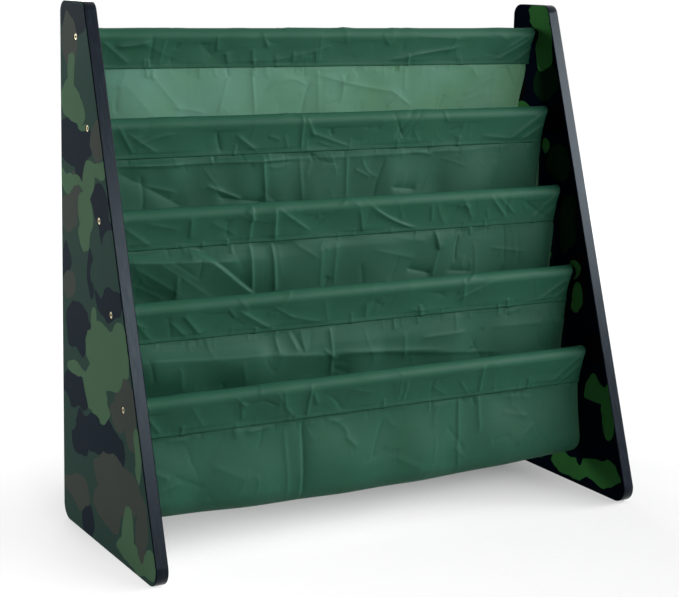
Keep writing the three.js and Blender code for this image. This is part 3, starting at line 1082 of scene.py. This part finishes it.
@dataclass(frozen=True)
class SlingSizes:
    """Sizes of the sewn sling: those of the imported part, and from `hem` on those of its looks."""

    half_width: float = 300.0
    sleeve_thickness: float = 0.6
    seam_drop: float = 36.1
    sleeve_slack: float = 1.1
    fit_gap: float = 0.3
    pocket_thickness: float = 0.8
    tuck: float = 6.0
    front_wall: float = 71.9
    back_wall: float = 170.75
    bend_depth: float = 22.0
    bend_length: float = 62.0
    end_lift: float = 8.0
    back_draw_in: float = 9.0
    front_draw_in: float = 3.0
    first_draw_in: float = 4.5
    inner_bulge: float = 5.0
    last_bulge: float = 13.0
    wall_spread: float = 1.6
    back_return: float = 3.0
    fold_count: int = 5
    fold_depth: float = 2.0
    fold_onset: float = 60.0
    pull_depth: float = 2.4
    pull_width: float = 24.0
    pull_reach: float = 110.0
    pull_slope: float = 0.75
    fold_phase: float = 0.37
    hem: float = 9.0
    hem_stitch: float = 2.2
    seam_stitch: float = 4.2
    stitch_end: float = 2.0
    seam_wrinkles: int = 46
    belly: tuple[float, ...] = (0.5, 4.5, 8.0, 10.0, 0.6)
    belly_fold: tuple[float, ...] = (30.0, 14.0, 16.0, 27.0, 30.0)
    crumple: tuple[float, ...] = (0.9, 0.8, 0.8, 0.7, 0.45)
    last_sag: float = 7.0
    seam_lip: float = 0.7
    end_flare: float = 4.5

    @property
    def hem_line(self) -> float:
        """Distance from the middle to the stitches of a side hem."""
        return self.half_width - self.hem + self.hem_stitch

    @property
    def wall_offset(self) -> float:
        """How far a pocket wall stands from its rod's middle plane."""
        return (self.pocket_thickness + self.fit_gap) / 2

    @property
    def seam_offset(self) -> float:
        """How far a sleeve's layer stands from its rod's middle plane at the seam."""
        return (
            self.wall_offset + self.pocket_thickness / 2 + self.fit_gap + self.sleeve_thickness / 2
        )


SLING = SlingSizes()


def hem_relief(inwards: Array) -> Array:
    """The doubled cloth of a side hem, by the distance in from the cloth's end."""
    doubled = 1 - smoothstep(inwards, SLING.hem - 1.2, SLING.hem + 1.2)
    stitched = np.exp(-(((inwards - SLING.hem + SLING.hem_stitch) / 1.3) ** 2))
    return 0.35 * doubled - 0.3 * stitched


def pucker(seed: int, x: Array, off_seam: Array) -> Array:
    """Short wrinkles that a seam draws up, by x and distance from the seam."""
    random = np.random.default_rng(seed)
    lift = np.zeros_like(x)
    for _ in range(SLING.seam_wrinkles):
        at = random.uniform(-SLING.half_width, SLING.half_width)
        lean = random.normal(0.0, 2.5)
        reach = random.uniform(5.0, 15.0)
        mark = Crease(
            at, -2.0, at + lean, reach, random.normal(0.0, 0.55), random.uniform(1.2, 3.0),
            random.uniform(1.2, 3.0),
        )
        lift += mark.relief(x, off_seam)
    return lift


def hang_relief(rod: int, x: Array, drop: Array) -> Array:
    """Marks and crumple of the cloth that hangs from a rod, by x and drop below the seam."""
    crumple = Crumple(
        Seed.HANG_CRUMPLE + rod, SLING.half_width, top=0.0, bottom=130.0, marks=64,
        mark_height=SLING.crumple[rod],
    )
    lift = crumple.relief(x, drop)
    for mark in HANG_MARKS[rod]:
        lift = lift + mark.relief(x, drop)
    wander = 4.0 * np.cos(x * 0.017 + rod) + 2.0 * np.cos(x * 0.041 + 2 * rod)
    fold = SLING.belly_fold[rod] + wander
    rise = 0.5 * smoothstep(drop, 0.0, fold)
    fall = smoothstep(drop, fold - 4.0, fold + 46.0) - smoothstep(drop, 78.0, 124.0)
    leftwards = smoothstep(-x, -SLING.half_width, SLING.half_width)
    lift = lift + SLING.belly[rod] * (rise - fall) * (0.25 + 0.75 * leftwards)
    lift = lift * smoothstep(drop, -1.0, 7.0) + pucker(Seed.HANG_PUCKER + rod, x, drop)
    lip = 0.55 + 0.45 * np.cos(x * 0.023 + 1.3 * rod) * np.cos(x * 0.051 + rod)
    return lift + SLING.seam_lip * lip * smoothstep(drop, -0.6, 2.4)


@dataclass(frozen=True)
class ClothSheet:
    """A sheet of cloth as a mapping from its flat cut to its place on the shelf."""

    width: float
    length: float
    place: Callable[[Array, Array], Array]
    lift: Callable[[Array, Array], Array]
    pitch: float
    row_count: int
    row_knots: tuple[tuple[float, float], ...]
    facing: float

    def normals(self, across: Array, down: Array) -> Array:
        """Unit directions square to the sheet, towards its shown face."""
        step = 0.5
        along_x = self.place(across + step, down) - self.place(across - step, down)
        along_s = self.place(across, down + step) - self.place(across, down - step)
        square = self.facing * np.cross(along_s, along_x)
        return square / np.linalg.norm(square, axis=1, keepdims=True)

    def points(self, across: Array, down: Array, raised: float = 0.0) -> Array:
        """Places on the creased sheet, in millimetres.

        Args:
            across: Distance from the sheet's middle, sideways.
            down: Distance from the sheet's first edge.
            raised: Extra height over the sheet's middle surface.

        Returns:
            One point in each row.
        """
        lift = self.lift(across, down) + raised
        return self.place(across, down) + self.normals(across, down) * lift[:, None]

    def build(self, name: str, thickness: float, materials: Sequence[Material]) -> Object:
        """Makes the sheet as a grid with a live thickness.

        Args:
            name: The piece's name.
            thickness: The cloth's thickness.
            materials: Its materials.

        Returns:
            The new object.
        """
        source = bmesh.new()
        source.loops.layers.uv.new("flat_cut")
        columns = round(self.width / self.pitch)
        bmesh.ops.create_grid(
            source, x_segments=columns, y_segments=self.row_count, size=1.0, calc_uvs=True
        )
        piece = new_piece(source, name, materials)
        mesh = piece.data
        grid = np.empty(3 * len(mesh.vertices))
        mesh.vertices.foreach_get("co", grid)
        grid = grid.reshape(-1, 3)
        row_shares, down_shares = zip(*self.row_knots)
        down_share = np.interp((grid[:, 1] + 1) / 2, row_shares, down_shares)
        points = self.points(grid[:, 0] * self.width / 2, down_share * self.length)
        mesh.vertices.foreach_set("co", (points * MM).ravel())
        corners = np.empty(len(mesh.loops), dtype=int)
        mesh.loops.foreach_get("vertex_index", corners)
        flat = np.stack([(grid[:, 0] + 1) / 2, down_share], axis=1)
        mesh.uv_layers[0].data.foreach_set("uv", flat[corners].ravel())
        mesh.update()
        edge = (np.full(1, -self.width / 2), np.zeros(1))
        if mesh.polygons[0].normal.dot(Vector(self.normals(*edge)[0])) < 0:
            mesh.flip_normals()
        solid = piece.modifiers.new("cloth_thickness", "SOLIDIFY")
        solid.thickness = thickness * MM
        solid.offset = 0.0
        shade(piece, 80.0)
        return piece


@dataclass(frozen=True)
class StitchRow:
    """A straight row of stitches on the flat cut, from one place to another."""

    start: tuple[float, float]
    end: tuple[float, float]
    spacing: float = 3.6
    length: float = 2.6
    radius: float = 0.22


class SlingPart(ABC):
    """One cloth of the sling with its stitches; `kind` also starts its name."""

    kind: str
    index: int
    thickness: float
    stitch_clear: float

    @property
    @abstractmethod
    def length(self) -> float:
        """Length of the flat cut, down the cloth."""

    @property
    @abstractmethod
    def rods(self) -> Sequence[int]:
        """The rods that carry the cloth."""

    @abstractmethod
    def sheet(self) -> ClothSheet:
        """The cloth as a mapping from its flat cut."""

    def rows(self) -> list[StitchRow]:
        """The stitch rows of both side hems."""
        side, clear = SLING.hem_line, self.stitch_clear
        return [StitchRow((x, clear), (x, self.length - clear)) for x in (-side, side)]

    def build(self, cloth: Material, thread: Material) -> list[Object]:
        """Makes the cloth and its stitches.

        Args:
            cloth: The cloth's finish.
            thread: The stitches' finish.

        Returns:
            The cloth and its stitch rows.
        """
        name, slot = f"{self.kind}_{self.index + 1}", f"{self.kind}_cloth"
        sheet = self.sheet()
        piece = declare(sheet.build(name, self.thickness, [cloth]), slot, name)
        stitches = sew(f"{name}_stitches", sheet, self.rows(), self.thickness / 2, thread)
        declare(stitches, slot)
        self.length * MM
        [f"rod_{rod + 1}" for rod in self.rods]
        return [piece, stitches]


@dataclass(frozen=True)
class Sleeve(SlingPart):
    """A sewn sleeve round a rod, double cloth that closes at its seam."""

    index: int
    kind: str = "sleeve"
    thickness: float = 0.5
    stitch_clear: float = 6.0
    pitch: float = 1.4
    row_count: int = 84
    row_knots: tuple[tuple[float, float], ...] = ((0.0, 0.0), (0.66, 0.5), (1.0, 1.0))
    front_steps: int = 60
    over_steps: int = 90
    outline: Array = field(init=False, repr=False, compare=False)
    lengths: Array = field(init=False, repr=False, compare=False)

    def __post_init__(self) -> None:
        """Works out the sleeve's section once, from the front seam over the rod to the back."""
        radius = SHELF.rod_radius + SLING.fit_gap + SLING.sleeve_thickness / 2
        touch = math.atan2(radius - SLING.seam_offset, SLING.seam_drop)
        share = np.linspace(0.0, 1.0, self.front_steps, endpoint=False)
        seam = np.array([-SLING.seam_offset, -SLING.seam_drop])
        corner = np.array([-math.cos(touch), -math.sin(touch)]) * radius
        front = seam + (corner - seam) * share[:, None]
        front[:, 0] += SLING.sleeve_slack * np.sin(math.pi * share)
        turn = math.pi + touch - (math.pi + 2 * touch) * np.linspace(0.0, 1.0, self.over_steps)
        over = np.stack([np.cos(turn), np.sin(turn)], axis=1) * radius
        outline = np.concatenate([front, over, front[::-1] * (-1.0, 1.0)])
        steps = np.linalg.norm(np.diff(outline, axis=0), axis=1)
        object.__setattr__(self, "outline", outline)
        object.__setattr__(self, "lengths", np.concatenate([[0.0], np.cumsum(steps)]))

    @property
    def length(self) -> float:
        """Length of the section from seam to seam."""
        return float(self.lengths[-1])

    @property
    def rods(self) -> Sequence[int]:
        """The rod inside the sleeve."""
        return (self.index,)

    def place(self, across: Array, down: Array) -> Array:
        """Smooth place of the sleeve's middle surface."""
        y, z = SHELF.rod_centre(self.index)
        held = np.clip(down, 0.0, self.length)
        over_y = np.interp(held, self.lengths, self.outline[:, 0])
        over_z = np.interp(held, self.lengths, self.outline[:, 1]) + (held - down)
        over_z = np.where(down > self.length, over_z - 2 * (down - self.length), over_z)
        # The loose ends stand out a little over the top of the rod.
        loose = smoothstep(np.abs(across), SLING.half_width - 14.0, SLING.half_width)
        flare = SLING.end_flare * loose * smoothstep(over_z, -4.0, SHELF.rod_radius)
        return np.stack([across + np.sign(across) * flare, y + over_y, z + over_z], axis=1)

    def lift(self, across: Array, down: Array) -> Array:
        """Creases, hems and puckers of the sleeve."""
        drop = SLING.seam_drop - down
        crumple = Crumple(
            Seed.SLEEVE_CRUMPLE + self.index, SLING.half_width, top=-50.0, bottom=36.0, marks=54,
            mark_height=0.7, swell_height=0.5,
        )
        lift = crumple.relief(across, drop)
        for mark in SLEEVE_MARKS[self.index]:
            lift = lift + mark.relief(across, drop)
        from_seam = np.minimum(down, self.length - down)
        lift = lift * (1 - 0.4 * smoothstep(from_seam, 26.0, 38.0))
        off_rod = np.clip(float(self.lengths[self.front_steps]) - 3.0 - from_seam, 0.0, None)
        room = off_rod**2 / (2 * SHELF.rod_radius)
        lift = np.maximum(lift, -np.minimum(0.08 + room, 2.2))
        lift = lift * smoothstep(from_seam, 1.0, 9.0)
        seam_roll = 0.12 * np.exp(-(((from_seam - 1.0) / 2.6) ** 2))
        stitched = -0.14 * np.exp(-(((from_seam - SLING.seam_stitch) / 1.2) ** 2))
        inwards = SLING.half_width - np.abs(across)
        drawn_up = pucker(Seed.SLEEVE_PUCKER + self.index, across, from_seam)
        wrinkles = np.maximum(drawn_up, -0.15)
        return lift + seam_roll + stitched + wrinkles + hem_relief(inwards)

    def sheet(self) -> ClothSheet:
        """The sleeve as a mapping from its flat cut."""
        return ClothSheet(
            2 * SLING.half_width, self.length, self.place, self.lift, self.pitch,
            self.row_count, self.row_knots, facing=-1.0,
        )

    def rows(self) -> list[StitchRow]:
        """The stitch rows of both seams and both side hems."""
        end = SLING.half_width - SLING.stitch_end
        seams = (SLING.seam_stitch, self.length - SLING.seam_stitch)
        return [StitchRow((-end, down), (end, down)) for down in seams] + super().rows()


@dataclass(frozen=True)
class Pocket(SlingPart):
    """A book pocket: one width of cloth down from a rod, round a bend and up to the next rod."""

    index: int
    kind: str = "pocket"
    thickness: float = 0.4
    stitch_clear: float = 8.0
    pitch: float = 1.5

    @property
    def sag(self) -> float:
        """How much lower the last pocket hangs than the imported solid."""
        return SLING.last_sag if self.index == SHELF.rod_count - 2 else 0.0

    @property
    def back_length(self) -> float:
        """Drop of the wall behind, from its seam to the bend."""
        return SLING.back_wall + self.sag

    @property
    def front_length(self) -> float:
        """Drop of the wall in front, from its seam to the bend."""
        return SLING.front_wall + self.sag

    @property
    def length(self) -> float:
        """Length of the cut from its back top edge to its front top edge."""
        return self.back_length + self.front_length + 2 * SLING.tuck + SLING.bend_length

    @property
    def rods(self) -> Sequence[int]:
        """The rods behind and ahead of the pocket."""
        return (self.index, self.index + 1)

    def sheet(self) -> ClothSheet:
        """The pocket as a mapping from its flat cut, with most rows where it is seen."""
        if self.sag:
            rows, knots = 120, ((0.0, 0.0), (0.33, 0.2), (0.45, 0.54), (0.6, 0.74), (1.0, 1.0))
        else:
            rows, knots = 100, ((0.0, 0.0), (0.58, 0.215), (1.0, 1.0))
        return ClothSheet(
            2 * SLING.half_width, self.length, self.place, self.lift, self.pitch, rows, knots,
            facing=1.0,
        )

    @staticmethod
    def hang_forward(rod: int, x: Array, drop: Array) -> Array:
        """How far hanging cloth stands forward of its rod's line."""
        pushed = SLING.last_bulge if rod == SHELF.rod_count - 1 else SLING.inner_bulge
        pushed = 0.0 if rod == 0 else pushed
        growth = smoothstep(drop, 0.0, SLING.fold_onset)
        turns = SLING.fold_count * x / (2 * SLING.half_width) + SLING.fold_phase * rod
        inwards = SLING.half_width - np.abs(x)
        off = (drop - inwards * SLING.pull_slope) / SLING.pull_width
        fade = 1 - smoothstep(inwards, 0.0, SLING.pull_reach)
        fold = SLING.fold_depth * np.cos(2 * math.pi * turns)
        pull = SLING.pull_depth * fade * np.exp(-(off**2))
        return pushed * smoothstep(drop, 0.0, SLING.front_wall) + (fold + pull) * growth

    def wall(self, rod: int, share: Array, drop: Array) -> Array:
        """Places on the wall that hangs from the rod behind the pocket or the one ahead of it."""
        eased = smoothstep(drop, 0.0, SLING.fold_onset)
        if rod == self.index:
            drawn = SLING.back_draw_in * eased + (SLING.first_draw_in if rod == 0 else 0.0)
            back = 0.0 if rod == 0 else SLING.back_return
            off = back * smoothstep(drop, SLING.front_wall, SLING.back_wall) - SLING.wall_offset
        else:
            drawn = SLING.front_draw_in * eased
            off = SLING.wall_spread * smoothstep(drop, 0.0, SLING.front_wall) + SLING.wall_offset
        x = share * (SLING.half_width - drawn)
        y, z = SHELF.rod_centre(rod)
        forward = self.hang_forward(rod, x, drop)
        return np.stack([x, y + off - forward, z - SLING.seam_drop - drop], axis=1)

    def drops(self, share: Array, down: Array) -> tuple[Array, Array, Array]:
        """Drop below the back seam, drop below the front seam and turn round the bend."""
        lift = SLING.end_lift * share**2
        back = down - SLING.tuck
        back = np.where(back > 0, back * (1 - lift / self.back_length), back)
        front = self.length - SLING.tuck - down
        front = np.where(front > 0, front * (1 - lift / self.front_length), front)
        turn = math.pi * (down - SLING.tuck - self.back_length) / SLING.bend_length
        return back, front, turn

    def place(self, across: Array, down: Array) -> Array:
        """Smooth place of the pocket's middle surface."""
        share = across / SLING.half_width
        back, front, turn = self.drops(share, down)
        lift = SLING.end_lift * share**2
        behind, ahead = self.rods
        back_end = self.wall(behind, share, self.back_length - lift)
        front_end = self.wall(ahead, share, self.front_length - lift)
        round_bend = (back_end + front_end) / 2 + (back_end - front_end) / 2 * np.cos(turn)[:, None]
        round_bend[:, 2] -= SLING.bend_depth * np.sin(turn)
        walls = np.where(
            (turn <= 0)[:, None], self.wall(behind, share, back), self.wall(ahead, share, front)
        )
        return np.where(((turn > 0) & (turn < math.pi))[:, None], round_bend, walls)

    def lift(self, across: Array, down: Array) -> Array:
        """Creases and hems of the pocket, seen from the front on both of its walls."""
        share = across / SLING.half_width
        back, front, turn = self.drops(share, down)
        bent = np.clip(turn, 0, math.pi)
        behind = hang_relief(self.index, across, back) * np.cos(bent / 2)
        ahead = hang_relief(self.index + 1, across, front) * np.cos((math.pi - bent) / 2)
        marks = np.where(np.cos(bent) > 0, behind, -ahead) * (1 - np.sin(bent))
        return marks + hem_relief(SLING.half_width - np.abs(across))


def sew(
    name: str, sheet: ClothSheet, rows: Sequence[StitchRow], raised: float,
    thread: Material,
) -> Object:
    """Makes rows of stitches on a sheet's shown face, as one piece.

    Args:
        name: The piece's name.
        sheet: The sheet that they are sewn into.
        rows: The rows on its flat cut.
        raised: How far the shown face is from the sheet's middle surface.
        thread: The finish.

    Returns:
        The piece of stitches.
    """
    source = bmesh.new()
    for row in rows:
        run = np.subtract(row.end, row.start)
        reach = float(np.linalg.norm(run))
        count = int(reach / row.spacing)
        shares = (np.arange(count) + 0.5) / count
        half = row.length / 2 / reach
        ends = [
            sheet.points(
                row.start[0] + run[0] * (shares + offset),
                row.start[1] + run[1] * (shares + offset),
                raised + 0.05,
            )
            for offset in (-half, half)
        ]
        for begin, finish in zip(*ends):
            way = Vector(finish - begin)
            turn = way.to_track_quat("Z", "Y").to_matrix().to_4x4()
            size = Matrix.Diagonal((row.radius * MM, row.radius * MM, way.length / 2 * MM, 1.0))
            middle = Matrix.Translation(Vector((begin + finish) / 2) * MM)
            bmesh.ops.create_icosphere(
                source, subdivisions=1, radius=1.0, matrix=middle @ turn @ size
            )
    piece = new_piece(source, name, [thread])
    shade(piece, 180.0)
    return piece


# Studio


@dataclass(frozen=True)
class Studio:
    """Plain pale floor, soft lamps and the camera at the photograph's angle."""

    camera_at: tuple[float, float, float] = (-982.2, -1635.6, 652.3)
    yaw_deg: float = 30.22
    pitch_deg: float = 10.14
    roll_deg: float = 1.24
    focal_px: float = 1626.3
    rise_px: float = -40.0
    floor_reach: float = 6000.0
    dim_world: float = 0.13
    # The soft shadow drawn into the floor: a line under the shelf, in metres, and its depth.
    shadow_half_length: float = 0.26
    shadow_y: float = 0.09
    shadow_reach: float = 0.119
    shadow_depth: float = 0.46
    # The floor's own brightness left and right of the shelf, higher on the left, where it paints
    # light over the shelf's cast shadow, and what it gains far away.
    floor_left: float = 0.75
    floor_right: float = 0.48
    floor_gain: float = 0.49

    def camera(self) -> None:
        """Makes the camera."""
        data = bpy.data.cameras.new("studio_camera")
        data.sensor_width = 36.0
        data.lens = self.focal_px * data.sensor_width / IMAGE_WIDTH
        data.shift_y = self.rise_px / IMAGE_WIDTH
        camera = bpy.data.objects.new("studio_camera", data)
        bpy.context.scene.collection.objects.link(camera)
        turn = (
            Matrix.Rotation(-math.radians(self.yaw_deg), 4, "Z")
            @ Matrix.Rotation(math.radians(90 - self.pitch_deg), 4, "X")
            @ Matrix.Rotation(math.radians(self.roll_deg), 4, "Z")
        )
        camera.matrix_world = Matrix.Translation(Vector(self.camera_at) * MM) @ turn
        bpy.context.scene.camera = camera

    def world(self) -> None:
        """Lights the room evenly and shows white behind the shelf."""
        world = bpy.data.worlds.new("pale_room")
        bpy.context.scene.world = world
        world.use_nodes = True
        tree = world.node_tree
        tree.nodes.clear()
        strength = add_node(tree, "MapRange", {0: sees_room(tree), 3: self.dim_world, 4: 1.0})
        light = add_node(tree, "Background", {"Color": srgb("FFFFFF"), "Strength": strength})
        add_node(tree, "OutputWorld", {"Surface": light})

    def floor(self) -> None:
        """Makes the pale floor, which keeps the shelf's shadow, has a painted shadow under the
        shelf and painted light on its left, and fades to white far away.
        """
        material, tree = new_material("matt_white_paper")
        here = add_node(tree, "TexCoord", output="Object")
        x = add_node(tree, "SeparateXYZ", {0: here})
        y = add_node(tree, "SeparateXYZ", {0: here}, output=1)
        # Past the shelf's sides the distance from the shadow's line counts twice.
        aside = add_node(tree, "Math", {0: x}, operation="ABSOLUTE")
        start = self.shadow_half_length
        aside = add_node(tree, "MapRange", {0: aside, 1: start, 2: start + 2, 3: 0.0, 4: 4.0})
        ahead = add_node(tree, "Math", {0: y, 1: self.shadow_y}, operation="SUBTRACT")
        away = add_node(tree, "CombineXYZ", {0: aside, 1: ahead})
        away = add_node(
            tree, "VectorMath", {0: away, "Scale": 1 / self.shadow_reach}, operation="SCALE"
        )
        away = add_node(tree, "VectorMath", {0: away}, output="Value", operation="LENGTH")
        away = add_node(tree, "Math", {0: away, 1: 1.5}, operation="POWER")
        # Painted shadow: how deep the floor's own brightness dips, falling off from the line under
        # the shelf.
        under = add_node(tree, "Math", {0: 1 / math.e, 1: away}, operation="POWER")
        # Painted light: the floor's own brightness is higher on the left, over the shelf's cast
        # shadow there.
        even = add_node(
            tree, "MapRange", {0: x, 1: -0.35, 2: 0.35, 3: self.floor_left, 4: self.floor_right}
        )
        reach = add_node(tree, "VectorMath", {0: here}, output="Value", operation="LENGTH")
        far = add_node(tree, "MapRange", {0: reach, 1: 0.9, 2: 3.0, 3: 0.0, 4: self.floor_gain})
        even = add_node(tree, "Math", {0: even, 1: far}, operation="ADD")
        fade = add_node(
            tree, "Math", {0: under, 1: -self.shadow_depth, 2: even}, operation="MULTIPLY_ADD"
        )
        own = add_node(tree, "Math", {0: fade, 1: sees_room(tree)}, operation="MULTIPLY")
        fibre = add_node(
            tree, "TexNoise", {"Vector": here, "Scale": 180.0, "Detail": 2.0}, output="Fac"
        )
        paper = add_node(
            tree, "Mix", {0: fibre, 6: srgb("A4A4A4"), 7: srgb("ACACAC")}, output=2,
            data_type="RGBA",
        )
        matt = add_node(tree, "BsdfDiffuse", {"Color": paper})
        white = add_node(tree, "Emission", {"Color": srgb("FFFFFF"), "Strength": own})
        both = add_node(tree, "AddShader", {0: matt, 1: white})
        close_surface(tree, both)
        source = bmesh.new()
        bmesh.ops.create_grid(
            source, x_segments=2, y_segments=2, size=self.floor_reach * MM,
            matrix=Matrix.Translation((0.0, 0.0, -0.0002)),
        )
        new_piece(source, "studio_floor", [material])

    def lamp(
        self, name: str, at: tuple[float, float, float], size: tuple[float, float], watts: float,
        roll: float = 0.0,
    ) -> None:
        """Hangs one soft box that looks at the shelf's middle.

        Args:
            name: The lamp's name.
            at: Its place in millimetres.
            size: Its width and height in millimetres.
            watts: Its power.
            roll: Degrees it is turned about its aim; its right end rises.
        """
        data = bpy.data.lights.new(name, "AREA")
        data.shape = "RECTANGLE"
        data.size, data.size_y = size[0] * MM, size[1] * MM
        data.energy = watts
        lamp = bpy.data.objects.new(name, data)
        bpy.context.scene.collection.objects.link(lamp)
        lamp.visible_camera = False
        lamp.location = Vector(at) * MM
        aim = Vector((0.0, 0.0, 300.0)) - Vector(at)
        turn = aim.to_track_quat("-Z", "Y") @ Quaternion((0.0, 0.0, 1.0), math.radians(roll))
        lamp.rotation_euler = turn.to_euler()

    def build(self) -> None:
        """Sets up camera, floor and light."""
        self.camera()
        self.world()
        self.floor()
        self.lamp("key_softbox", (2020.0, -2165.0, 1610.0), (3400.0, 760.0), 108.0, roll=2.0)
        self.lamp("side_softbox", (2900.0, -600.0, 1500.0), (1300.0, 900.0), 84.0)
        self.lamp("left_softbox", (-1900.0, 2000.0, 850.0), (1400.0, 800.0), 42.0)
        self.lamp("back_softbox", (500.0, 2700.0, 1300.0), (1800.0, 1200.0), 41.0)
        bpy.context.scene.view_settings.view_transform = "Standard"


# The whole shelf


@dataclass
class Bookshelf:
    """All pieces of the shelf with their finishes."""

    pieces: list[Object] = field(default_factory=list)

    def keep(self, *made: Object) -> None:
        """Adds finished pieces and reports them."""
        for piece in made:
            log.info("%s: %d faces", piece.name, len(piece.data.polygons))
            self.pieces.append(piece)

    def build_frame(self) -> None:
        """Makes panels, rods and screws."""
        board = [
            # The outer print's inks are lifted for a painted sheen, the inner print's are deepened
            # for painted shade.
            PrintedBoard(
                "camouflage_print_outer_painted_sheen", Ink.GREEN, OUTER_PRINT, SHEEN_LIFTED_OUTER_INKS, 0.0055
            ).build(),
            PrintedBoard(
                "camouflage_print_inner_painted_shade", Ink.NAVY, INNER_PRINT, SHADE_DEEPENED_INNER_INKS, 0.0
            ).build(),
            SatinPaint("navy_satin_edge_paint", "0C111A", (1.6, 9.0, 26.0)).build(),
            RawFibreboard().build(),
            # Handling dulls the paint along the arrises, so they draw a dark line.
            SatinPaint(
                "navy_edge_paint_dulled", "0C111A", (1.6, 9.0, 26.0), specular=0.03
            ).build(),
        ]
        rod_paint = SatinPaint("navy_satin_rod_paint", "0B0D13", (40.0, 2.0, 2.0)).build()
        brass = BrassPlate().build()
        for side in (-1, 1):
            self.keep(SidePanel(side).build(board))
        for index in range(SHELF.rod_count):
            self.keep(CrossRod(index).build(rod_paint))
            for side in (-1, 1):
                self.keep(ConnectingScrew(side, index).build(brass))

    def build_sling(self) -> None:
        """Makes sleeves and pockets."""
        sleeve_cut = (2 * SLING.half_width, Sleeve(0).length)
        pocket_cut = (2 * SLING.half_width, Pocket(0).length)
        sleeve_cloth = SlingCloth(
            "woven_polyester_doubled", "235743", "4E8F66", "5A8F58", sleeve_cut,
            see_through=0.2,
        ).build()
        pocket_cloth = SlingCloth(
            "woven_polyester_single", "2F6250", "B6D3C8", "A4BFA7", pocket_cut,
            see_through=0.45,
        ).build()
        thread = SewingThread().build()
        for index in range(SHELF.rod_count):
            self.keep(*Sleeve(index).build(sleeve_cloth, thread))
        for index in range(SHELF.rod_count - 1):
            self.keep(*Pocket(index).build(pocket_cloth, thread))


def main() -> None:
    """Builds the studio and the shelf in order."""
    logging.basicConfig(level=logging.INFO, format="%(name)s: %(message)s")
    Studio().build()
    shelf = Bookshelf()
    shelf.build_frame()
    shelf.build_sling()
    log.info("%d pieces", len(shelf.pieces))


if __name__ == "__main__":
    main()
